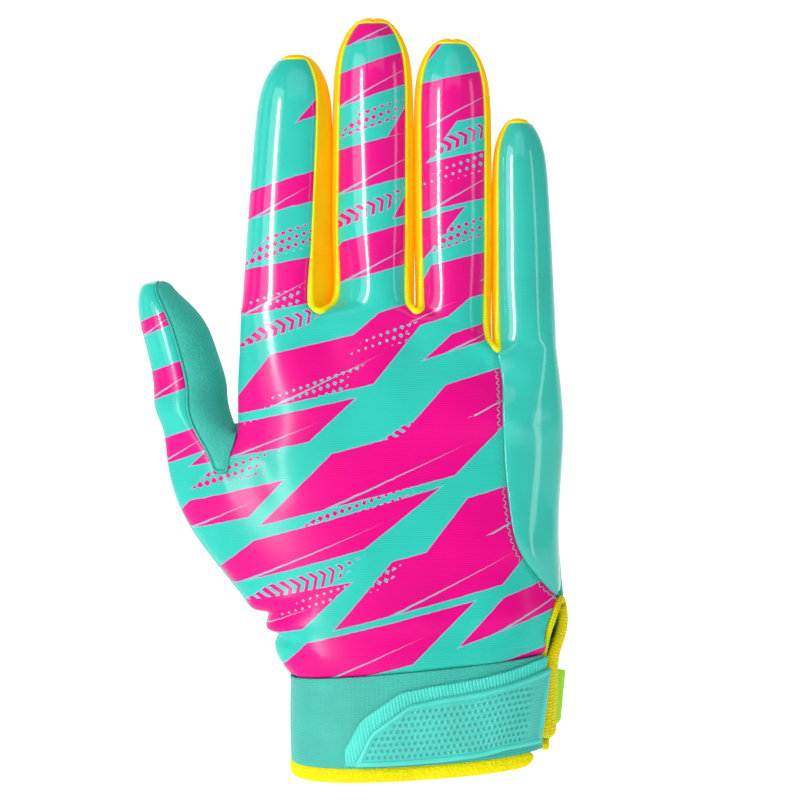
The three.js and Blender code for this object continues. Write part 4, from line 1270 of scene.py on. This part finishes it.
def colour(code):
    """A web colour as the renderer's linear one."""
    values = []
    for step in (0, 2, 4):
        part = int(code[step:step + 2], 16) / 255
        values.append(part / 12.92 if part <= 0.04045 else ((part + 0.055) / 1.055) ** 2.4)
    return (*values, 1)


def make_courses():
    """Knitted courses: fine ridges at a pitch along one coordinate, in millimetres."""
    tree, given, out = new_group(
        "Knitted courses", [("Place", FLOAT, 0), ("Pitch", FLOAT, 0.5), ("Waver", FLOAT, 0)],
        ["Height", "Shade"])
    turns = math_node(tree, "DIVIDE", given["Place"], given["Pitch"])
    turns = math_node(tree, "ADD", turns, given["Waver"])
    swing = math_node(tree, "SINE", math_node(tree, "MULTIPLY", turns, 2 * math.pi))
    height = math_node(tree, "MULTIPLY_ADD", swing, 0.5, 0.5)
    link(tree, height, out["Height"])
    link(tree, ramp(tree, height, 0.0, 0.6, 0.9, 1.0), out["Shade"])
    return tree


def divided(tree, vector, size):
    return vector_node(tree, "DIVIDE", vector, from_parts(tree, size, size, size))


def make_grain():
    """Cloth or leather grain: small lumps and slow changes of tone."""
    tree, given, out = new_group(
        "Cloth grain",
        [("Place", VECTOR, None), ("Size", FLOAT, 0.5), ("Drift size", FLOAT, 18)],
        ["Height", "Tone"])
    small = divided(tree, given["Place"], given["Size"])
    slow = divided(tree, given["Place"], given["Drift size"])
    link(tree, noise(tree, small, 1, 3, 0.6), out["Height"])
    link(tree, ramp(tree, noise(tree, slow, 1, 2), 0.3, 0.7, 0.94, 1.04), out["Tone"])
    return tree


def every_other(tree, row, value):
    """The value, moved on by half in every other row."""
    odd = math_node(tree, "FLOORED_MODULO", math_node(tree, "FLOOR", row), 2)
    return math_node(tree, "MULTIPLY_ADD", odd, 0.5, value)


def make_weave():
    """A plain weave on the piece's own map, in millimetres."""
    tree, given, out = new_group(
        "Plain weave", [("Along", FLOAT, 0), ("Across", FLOAT, 0), ("Pitch", FLOAT, 0.7)],
        ["Height", "Shade"])
    u, v = (math_node(tree, "DIVIDE", given[title], given["Pitch"])
            for title in ("Along", "Across"))
    u = every_other(tree, v, u)
    waves = [math_node(tree, "ABSOLUTE", math_node(
        tree, "SINE", math_node(tree, "MULTIPLY", value, math.pi))) for value in (u, v)]
    height = math_node(tree, "POWER", math_node(tree, "MULTIPLY", *waves), 0.5)
    link(tree, height, out["Height"])
    link(tree, ramp(tree, height, 0.1, 0.7, 0.82, 1.0), out["Shade"])
    return tree


# A blade's edges taper over these shares of its length, and its slit lies this share of its half
# width off its middle and ends at this share of its length
FAST_TAPER = 0.34
SLOW_TAPER = 0.7
SLIT_PLACE = 0.34
SLIT_END = 0.72


def make_blade():
    """How deep a place lies inside one blade of the print, in millimetres. Its upper edge rises
    fast and falls slowly, its lower edge the other way round, and a slit runs up its length."""
    tree, given, out = new_group(
        "Print blade",
        [("Place", VECTOR, None), ("Middle", VECTOR, (0, 0, 0)), ("Way", VECTOR, (1, 0, 0)),
         ("Side", VECTOR, (0, 0, 1)), ("Length", FLOAT, 50), ("Width", FLOAT, 8),
         ("Slit", FLOAT, 0.7)],
        ["Depth", "Along", "Across"])
    arm = vector_node(tree, "SUBTRACT", given["Place"], given["Middle"])
    along = math_node(tree, "DIVIDE", vector_node(tree, "DOT_PRODUCT", arm, given["Way"]),
                      given["Length"])
    along = math_node(tree, "ADD", along, 0.5)
    left = math_node(tree, "SUBTRACT", 1, along)
    across = vector_node(tree, "DOT_PRODUCT", arm, given["Side"])
    half = math_node(tree, "MULTIPLY", given["Width"], 0.5)
    depths = []
    for start, end, way in ((along, left, -1), (left, along, 1)):
        share = math_node(tree, "MINIMUM", math_node(tree, "DIVIDE", start, FAST_TAPER),
                          math_node(tree, "DIVIDE", end, SLOW_TAPER))
        share = math_node(tree, "MINIMUM", share, 1)
        edge = math_node(tree, "MULTIPLY", share, half)
        depths.append(math_node(tree, "MULTIPLY_ADD", across, way, edge))
    line = math_node(tree, "ABSOLUTE", math_node(tree, "MULTIPLY_ADD", half, SLIT_PLACE, across))
    thick = math_node(tree, "MULTIPLY", math_node(tree, "SUBTRACT", SLIT_END, along), given["Slit"])
    depth = combined(tree, "MINIMUM", [*depths, math_node(tree, "SUBTRACT", line, thick)])
    for title, value in (("Depth", depth), ("Along", along), ("Across", across)):
        link(tree, value, out[title])
    return tree


LATTICE_TURN = 20


def make_lattice():
    """Small diamonds on a turned grid: how deep a place lies inside its own, in millimetres."""
    tree, given, out = new_group(
        "Diamond lattice",
        [("Place", VECTOR, None), ("Pitch", FLOAT, 2.2), ("Radius", FLOAT, 0.8)], ["Depth"])
    turn = tree.nodes.new("ShaderNodeVectorRotate")
    turn.rotation_type = "Y_AXIS"
    turn.inputs["Angle"].default_value = math.radians(LATTICE_TURN)
    link(tree, given["Place"], turn.inputs["Vector"])
    x, _, z = parts_of(tree, divided(tree, turn.outputs[0], given["Pitch"]))
    ways = [math_node(tree, "ABSOLUTE", math_node(
        tree, "SUBTRACT", math_node(tree, "FRACT", value), 0.5))
        for value in (every_other(tree, z, x), z)]
    far = math_node(tree, "MULTIPLY", math_node(tree, "ADD", *ways), given["Pitch"])
    link(tree, math_node(tree, "SUBTRACT", given["Radius"], far), out["Depth"])
    return tree


courses = make_courses()
grain = make_grain()
weave = make_weave()
blade = make_blade()
lattice = make_lattice()


class Finish:
    """A material with a Principled shader, its place in millimetres, and a bump."""

    def __init__(self, name, specular=0.5, **settings):
        self.material = bpy.data.materials.new(name)
        self.material.use_nodes = True
        self.tree = self.material.node_tree
        self.shader = self.tree.nodes["Principled BSDF"]
        self.shader.inputs["Specular IOR Level"].default_value = specular
        for title, value in settings.items():
            self.shader.inputs[title.replace("_", " ").title()].default_value = value

    def set(self, title, value):
        link(self.tree, value, self.shader.inputs[title])

    @cached_property
    def place(self):
        source = self.tree.nodes.new("ShaderNodeTexCoord").outputs["Object"]
        return vector_node(self.tree, "SCALE", source, scale=1 / MM)

    def cloth_map(self):
        node = self.tree.nodes.new("ShaderNodeUVMap")
        node.uv_map = "cloth_map"
        return parts_of(self.tree, vector_node(self.tree, "SCALE", node.outputs[0],
                                               scale=1 / MAP_SCALE))

    def grain(self, size, drift):
        return use_group(self.tree, grain, place=self.place, size=size, drift_size=drift)

    def relief(self, low, shade):
        """The piece's own relief as painted shade, darker where it lies lower, as shade falls in
        hollows.
        """
        node = self.tree.nodes.new("ShaderNodeAttribute")
        node.attribute_name = "depth"
        return ramp(self.tree, node.outputs["Fac"], low, 0, shade, 1.04)

    def plus(self, value, other, share):
        """A value with a share of another added to it."""
        return math_node(self.tree, "MULTIPLY_ADD", other, share, value)

    def colour(self, base, *shades):
        """The base colour, darkened or lightened by each shade."""
        total = combined(self.tree, "MULTIPLY", shades)
        grey = self.tree.nodes.new("ShaderNodeCombineColor")
        for socket in grey.inputs:
            link(self.tree, total, socket)
        self.set("Base Color", mix_colour(self.tree, 1, base, grey.outputs[0], "MULTIPLY"))

    def bump(self, height, distance):
        """Adds the bump, and gives the material."""
        node = self.tree.nodes.new("ShaderNodeBump")
        node.inputs["Distance"].default_value = distance * MM
        link(self.tree, height, node.inputs["Height"])
        self.set("Normal", node.outputs[0])
        return self.material


TURQUOISE = colour("32D1C0")
PINK = colour("F4008C")
# Lavender for the pale line round the print: a painted highlight of the raised ink's edge.
PAINTED_EDGE_HIGHLIGHT = colour("C9B8E8")
YELLOW = colour("FFF000")
CUFF_TURQUOISE = colour("34C2B2")

# The print's blades: middle x and z in millimetres, angle in degrees, length and width
BLADES = (
    (-18, 41, 25, 75, 18.9), (36, 57, 29, 56, 12.5), (-47, 51, 23, 58, 15.6),
    (8, 65, 27, 75, 21.8), (-33, 73, 24, 85, 15.5), (28, 84, 28, 63, 19.4),
    (-60, 83, 25, 43, 11.7), (-8, 97, 25, 87, 21.8), (-44, 106, 23, 54, 13.5),
    (22, 118, 27, 68, 18.2), (-29, 125, 26, 68, 21.8), (-2, 141, 25, 52, 9.9),
    (-44, 149, 28, 45, 19.4), (-11, 160, 28, 55, 16.4), (14, 152, 30, 43, 17.5),
    (-42, 176, 30, 36, 11.4), (-13, 186, 28, 55, 18.2), (12, 181, 30, 46, 20.3),
    (-14, 211, 30, 52, 13.3), (11, 205, 29, 47, 19.4), (-73, 101, 32, 38, 10.5),
    (-76, 121, 33, 38, 11.6), (-80, 138, 35, 22, 6.2), (30, 36, 24, 53, 11.7),
    (-12, 228, 28, 37, 12.5), (16, 135, 26, 33, 6.6),
)
# Bands of small diamonds, bands of chevrons, and bands where diamonds are left out of the blades
LATTICE_BANDS = ((-18, 83, 25, 62, 9), (-38, 163, 28, 34, 9), (14, 166, 29, 32, 8),
                 (-54, 95, 24, 32, 8), (20, 73, 27, 40, 6), (-12, 200, 28, 30, 7))
CHEVRON_BANDS = ((-36, 61, 24, 50, 7), (4, 109, 25, 52, 7), (-16, 172, 28, 34, 6),
                 (12, 193, 29, 30, 6), (-40, 138, 26, 34, 6))
CUT_BANDS = ((-34, 117, 27, 46, 9), (-22, 60, 25, 50, 8), (22, 97, 27, 40, 8),
             (-44, 144, 26, 30, 8), (12, 184, 28, 32, 7), (-10, 134, 26, 26, 7))
NO_SLIT = -9
CHEVRON_PITCH = 1.4
CHEVRON_SLOPE = 0.7


def blade_values(row):
    x, z, angle, length, width = row
    turn = math.radians(angle)
    return dict(middle=(x, 0, z), way=(math.cos(turn), 0, math.sin(turn)),
                side=(-math.sin(turn), 0, math.cos(turn)), length=length, width=width)


def band_group(tree, spot, row):
    return use_group(tree, blade, place=spot, slit=NO_SLIT, **blade_values(row))


def diamond_band(tree, spot, row, pitch, first, last):
    """How deep a place lies inside a band's diamonds, which go from the first size to the last."""
    inside = band_group(tree, spot, row)
    radius = ramp(tree, inside["Along"], 0.1, 1.0, first, last)
    small = use_group(tree, lattice, place=spot, pitch=pitch, radius=radius)["Depth"]
    return math_node(tree, "MINIMUM", small, inside["Depth"])


def chevron_band(tree, spot, row):
    """How deep a place lies inside a band's chevrons, which get thinner along it."""
    inside = band_group(tree, spot, row)
    far = math_node(tree, "MULTIPLY", inside["Along"], row[3])
    side = math_node(tree, "ABSOLUTE", inside["Across"])
    far = math_node(tree, "MULTIPLY_ADD", side, CHEVRON_SLOPE, far)
    bar = math_node(tree, "SUBTRACT", ramp(tree, inside["Along"], 0.0, 1.0, 0.95, 0.35),
                    math_node(tree, "PINGPONG", far, CHEVRON_PITCH))
    return math_node(tree, "MINIMUM", bar, inside["Depth"])


def print_depth(tree, spot):
    """How deep a place lies inside the print's second colour, in millimetres."""
    found = [use_group(tree, blade, place=spot, **blade_values(row))["Depth"] for row in BLADES]
    found += [diamond_band(tree, spot, row, 2.3, 1.05, 0.35) for row in LATTICE_BANDS]
    found += [chevron_band(tree, spot, row) for row in CHEVRON_BANDS]
    cuts = [math_node(tree, "MULTIPLY", diamond_band(tree, spot, row, 2.2, 0.4, 0.85), -1)
            for row in CUT_BANDS]
    return combined(tree, "MINIMUM", [combined(tree, "MAXIMUM", found), *cuts])


PRINT_EDGE = 0.06   # half the blur between the print's colours
# The pale line is a painted highlight of the raised ink's edge.
LINE_PLACE = 0.14   # how far outside the blades their pale line runs
LINE_HALF = (0.08, 0.2)   # half its width, where it is full and where it has faded out
LINE_STRENGTH = 0.5
PRINT_THICKNESS = 1.8
KNIT_PITCH = 0.62
KNUCKLES = (128, 150)   # heights between which the knit fades out
FINGER_KNIT = 0.2   # share of the knit that the fingers keep
# The coat, on the hand and on the fingers: heights between which it changes, then the two values
COAT_WEIGHT = (110, 160, 0.2, 0.75)
COAT_ROUGHNESS = (110, 150, 0.22, 0.09)


def printed_cloth():
    """Turquoise cloth with a pink print edged by a pale line, a painted highlight of the raised
    ink's edge, knitted on the hand and glossier up the fingers."""
    finish = Finish("printed_stretch_cloth", 0.05, Roughness=0.45)
    tree, spot = finish.tree, finish.place
    x, _, z = parts_of(tree, spot)
    flat = from_parts(tree, x, 0, finish.plus(z, noise(tree, spot, 0.35, 2), 0.5))
    depth = print_depth(tree, flat)
    base = mix_colour(tree, ramp(tree, depth, -PRINT_EDGE, PRINT_EDGE), TURQUOISE, PINK)
    # Painted highlight: a pale lavender line just outside the blades' edges.
    near = math_node(tree, "ABSOLUTE", math_node(tree, "ADD", depth, LINE_PLACE))
    base = mix_colour(tree, ramp(tree, near, *LINE_HALF, LINE_STRENGTH, 0), base, PAINTED_EDGE_HIGHLIGHT)
    waver = math_node(tree, "MULTIPLY", noise(tree, spot, 0.12, 1), 1.5)
    fine = use_group(tree, courses, place=z, pitch=KNIT_PITCH, waver=waver)
    lumps = finish.grain(0.6, 22.0)
    hand = ramp(tree, z, *KNUCKLES, 1, FINGER_KNIT)
    shade = math_node(tree, "MULTIPLY_ADD", math_node(tree, "SUBTRACT", fine["Shade"], 1), hand, 1)
    finish.colour(base, shade, lumps["Tone"])
    finish.set("Coat Weight", ramp(tree, z, *COAT_WEIGHT))
    finish.set("Coat Roughness", ramp(tree, z, *COAT_ROUGHNESS))
    knit = math_node(tree, "MULTIPLY", fine["Height"], hand)
    height = finish.plus(ramp(tree, depth, -0.25, 0.25, 0, PRINT_THICKNESS), knit, 0.4)
    return finish.bump(finish.plus(height, lumps["Height"], 0.2), 0.07)


def plain_cloth(name, base, roughness, coat, pitch, grain_size, bump_distance, glow):
    # The glow is painted light: an emission that brightens the cloth though it is no lamp.
    finish = Finish(name, 0.12, Roughness=roughness, Coat_weight=coat, Coat_roughness=0.09,
                    Emission_color=base, Emission_strength=glow)
    fine = use_group(finish.tree, courses, place=parts_of(finish.tree, finish.place)[2],
                     pitch=pitch)
    lumps = finish.grain(grain_size, 20.0)
    finish.colour(base, fine["Shade"], lumps["Tone"])
    bumps = math_node(finish.tree, "MULTIPLY", lumps["Height"], 0.8)
    return finish.bump(finish.plus(bumps, fine["Height"], 0.4), bump_distance)


def grained_cloth(name, base, size, distance, roughness=0.7):
    finish = Finish(name, 0.12, Roughness=roughness)
    tree = finish.tree
    lumps = finish.grain(size, 12.0)
    cells = tree.nodes.new("ShaderNodeTexVoronoi")
    cells.feature = "SMOOTH_F1"
    cells.inputs["Scale"].default_value = 1 / (2.2 * size)
    link(tree, finish.place, cells.inputs["Vector"])
    dent = ramp(tree, cells.outputs["Distance"], 0.1, 0.75)
    finish.colour(base, ramp(tree, dent, 0, 1, 0.93, 1.03), lumps["Tone"])
    return finish.bump(finish.plus(dent, lumps["Height"], 0.5), distance)


def mapped_weave(name, base, pitch, distance, ribs=None):
    """A woven or ribbed finish that follows the piece's own map."""
    finish = Finish(name, 0.15, Roughness=0.65)
    u, v, _ = finish.cloth_map()
    threads = use_group(finish.tree, weave, along=u, across=v, pitch=pitch)
    lumps = finish.grain(0.4, 14.0)
    shades = [threads["Shade"], lumps["Tone"]]
    height = finish.plus(threads["Height"], lumps["Height"], 0.3)
    if ribs:
        lines = use_group(finish.tree, courses, place=u, pitch=ribs)
        height = finish.plus(height, lines["Height"], 1.6)
        shades.append(lines["Shade"])
    finish.colour(base, *shades)
    return finish.bump(height, distance)


def zigzag_courses(finish, u, v, turn, slope, pitch):
    """Knitted courses along u that go up and down by a slope, turning at each turn's length."""
    zigzag = finish.plus(v, math_node(finish.tree, "PINGPONG", u, turn), slope)
    return use_group(finish.tree, courses, place=zigzag, pitch=pitch)


def cuff_knit():
    finish = Finish("elastic_cuff_knit", 0.35, Roughness=0.5, Sheen_weight=0.15)
    u, v, _ = finish.cloth_map()
    lines = zigzag_courses(finish, u, v, 0.7, 0.55, 0.75)
    lumps = finish.grain(0.5, 16.0)
    finish.colour(CUFF_TURQUOISE, lines["Shade"], lumps["Tone"])
    return finish.bump(finish.plus(lines["Height"], lumps["Height"], 0.4), 0.12)


def band_cloth():
    finish = Finish("strap_rib_band", 0.35, Roughness=0.42)
    tree = finish.tree
    u, v, _ = finish.cloth_map()
    cross = zigzag_courses(finish, u, v, 0.9, 0.8, 0.6)
    slanted = math_node(tree, "ADD", finish.plus(u, v, RIB_SLANT), 0.25)
    ribs = use_group(tree, courses, place=slanted, pitch=1.0)
    # Painted light and shade on the ribs, lighter on their crests and darker between them, and
    # painted shade where the border bevels down.
    finish.colour(colour("48E2D2"), ramp(tree, ribs["Height"], 0.0, 0.7, 0.88, 1.12),
                  finish.relief(-BAND_BEVEL, 0.75), cross["Shade"], finish.grain(0.4, 10.0)["Tone"])
    return finish.bump(cross["Height"], 0.06)


def moulded_patch():
    finish = Finish("moulded_strap_patch", Roughness=0.38)
    lumps = finish.grain(0.3, 12.0)
    # Painted shade: the field and its dimples are darker where they lie lower.
    finish.colour(colour("49DCCD"), finish.relief(-0.85, 0.76), lumps["Tone"])
    return finish.bump(lumps["Height"], 0.03)


print_finish = printed_cloth()
leaf_finish = grained_cloth("grained_thumb_cloth", colour("46C6B6"), 0.26, 0.1)
# Plain cloths: name, colour, roughness, coat, pitch of the knit, size of the grain, bump, painted
# glow
gloss_finish, palm_finish, lining_finish, wall_finish, thread_finish, rim_finish = (
    plain_cloth(*row) for row in (
        ("plain_stretch_cloth", TURQUOISE, 0.42, 1, 0.5, 0.5, 0.02, 0),
        ("palm_grip_cloth", colour("3CC9B8"), 0.5, 0, 1.2, 0.7, 0.08, 0),
        ("dark_lining_cloth", colour("0F5A50"), 0.8, 0, 0.6, 0.5, 0.05, 0),
        # Painted shade: the wall cloth is a deeper orange-yellow than its rolled rim, for the shade
        # between the fingers; its glow and the rim's are painted light.
        ("yellow_wall_cloth", colour("FFC400"), 0.7, 0, 0.6, 0.5, 0.05, 0.16),
        ("turquoise_thread", colour("58DCCC"), 0.5, 0, 0.4, 0.3, 0.02, 0),
        ("yellow_rolled_rim", colour("FFF600"), 0.5, 0.15, 0.9, 0.5, 0.03, 0.1)))

# ---- Cloth panels

rim_source = form.data.copy()
rim_ends = [net_points[net_index[name]] for name in ("hand0front6", "hand0mid8")]
back, little, palm, leaf, *walls = split_panels()
back_keys, little_keys = rim_keys(back), rim_keys(little)
wall_runs = [shared_runs(wall, back_keys | little_keys) for wall in walls]
leaf_runs = shared_runs(leaf, back_keys)
side_seam = max(shared_runs(little, back_keys), key=len)

finish_cloth(back, "printed_back", "back_panel", print_finish, finer=1)
finish_cloth(little, "little_finger_cloth", "little_finger_panel", gloss_finish,
             finer=1)
finish_cloth(palm, "palm_cloth_piece", "palm_panel", palm_finish)
finish_cloth(leaf, "thumb_leaf_cloth", "thumb_inner_panel", leaf_finish, finer=1)
for wall, pair, runs in zip(walls, ("index_middle", "middle_ring", "ring_little"), wall_runs):
    finish_cloth(wall, f"wall_{pair}", f"gusset_{pair}", wall_finish, finer=1)
    for run in runs:
        join_to(wall, rolled_edge("rolled_edge", run, low=1.15, high=0.42, sink=0.3), rim_finish)
for run in leaf_runs:
    join_to(leaf, rolled_edge("welt", run, low=0.35, high=0.35, sink=0.12), leaf_finish)
stitches = seam_stitches("side_seam_stitches", side_seam, near=0.9, far=1.9, pitch=1, radius=0.12,
                         finish=thread_finish)
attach(stitches, "root")

# ---- Cuff, hem, strap, edging and tab

TRIM = (
    ("cuff", "cuff_knit", cuff_knit()),
    ("hem_binding", "yellow_binding", grained_cloth("yellow_hem_weave", YELLOW, 0.3, 0.2, 0.75)),
    ("strap_base", "strap_cloth", band_cloth()),
    ("strap_patch", "moulded_rubber", moulded_patch()),
    ("slit_binding", "yellow_binding",
     mapped_weave("yellow_edging_ribs", YELLOW, 0.6, 0.12, ribs=0.9)),
    ("pull_tab", "tab_tape", mapped_weave("lime_tab_tape", colour("A8F010"), 0.7, 0.1)),
)
trim_pieces = (make_cuff(), make_hem(), *make_strap(), make_edging(), make_tab())
for piece, (node, slot, finish) in zip(trim_pieces, TRIM):
    piece.data.materials.append(finish)
    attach(piece, "root")
    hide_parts(node)

# ---- Stage, light and camera

FLOOR_WIDTH = 6000
# The floor's section in millimetres, level and then up behind the glove: y and z
FLOOR_ROWS = ((-1500, -120), (600, -120), (800, -100), (950, 0), (1050, 200), (1100, 2200))
PALE = (0.93, 0.93, 0.93, 1)
WHITE = (1, 1, 1, 1)


def make_stage():
    points = [(x, y, z) for y, z in FLOOR_ROWS for x in (-FLOOR_WIDTH / 2, FLOOR_WIDTH / 2)]
    faces = [(i, i + 1, i + 3, i + 2) for i in range(0, len(points) - 2, 2)]
    floor = new_piece("studio_floor", points, faces)
    apply_modifier(floor, "sweep", "SUBSURF", levels=3, render_levels=3)
    shade_smooth(floor)
    paper = Finish("pale_paper", Roughness=0.9, Base_color=PALE, Emission_color=PALE,
                   Emission_strength=0.5)
    floor.data.materials.append(paper.material)


def aim_at(thing, target, azimuth, elevation, far):
    """Puts a light or camera at a distance from its target and turns it there."""
    turn, rise = math.radians(azimuth), math.radians(elevation)
    way = Vector((math.sin(turn) * math.cos(rise), -math.cos(turn) * math.cos(rise),
                  math.sin(rise)))
    thing.location = Vector(target) + way * far
    thing.rotation_euler = (-way).to_track_quat("-Z", "Y").to_euler()


# The lights and the camera are placed in metres, unlike the pieces
LIGHT_TARGET = (0, 0, 0.115)
# Lights: name, azimuth and elevation in degrees, distance, width, height and power in watts
LIGHTS = (
    ("tall_left_box", -42, 4, 0.9, 0.09, 0.9, 11), ("key_left_box", -48, 14, 1.0, 0.5, 0.9, 5.0),
    ("wide_left_box", -85, 15, 1.0, 0.3, 0.9, 0.7), ("wide_top_box", 5, 50, 1.1, 1.0, 0.6, 2.0),
    ("right_box", 62, 10, 1.1, 0.12, 0.9, 1.1), ("back_box", 180, 35, 1.2, 1.0, 0.8, 3),
)
GLOSS_LIGHTS = ("tall_left_box",)   # seen only as a highlight
AMBIENT = 0.25   # strength of the world's light
CAMERA_TARGET = (-0.006, 0, 0.1149)
CAMERA_ELEVATION = 3
CAMERA_DISTANCE = 0.8
LENS = 120
SENSOR_WIDTH = 36


def area_light(name, azimuth, elevation, far, width, height, power):
    data = bpy.data.lights.new(name, "AREA")
    data.shape = "RECTANGLE"
    data.size, data.size_y = width, height
    data.energy = power
    light = add_object(name, data)
    light.visible_diffuse = name not in GLOSS_LIGHTS
    aim_at(light, LIGHT_TARGET, azimuth, elevation, far)


def light_the_scene():
    """A dim white world, which the camera sees at full brightness, and the lights."""
    world = bpy.data.worlds.new("soft_studio")
    world.use_nodes = True
    tree = world.node_tree
    sky = tree.nodes["Background"].inputs
    sky["Color"].default_value = WHITE
    seen = tree.nodes.new("ShaderNodeLightPath").outputs["Is Camera Ray"]
    link(tree, ramp(tree, seen, 0, 1, AMBIENT, 1), sky["Strength"])
    bpy.context.scene.world = world
    bpy.context.scene.view_settings.view_transform = "Standard"
    for row in LIGHTS:
        area_light(*row)


def set_camera():
    data = bpy.data.cameras.new("photo_camera")
    data.lens = LENS
    data.sensor_width = SENSOR_WIDTH
    camera = add_object("photo_camera", data)
    aim_at(camera, CAMERA_TARGET, 0, CAMERA_ELEVATION, CAMERA_DISTANCE)
    bpy.context.scene.camera = camera


make_stage()
light_the_scene()
set_camera()
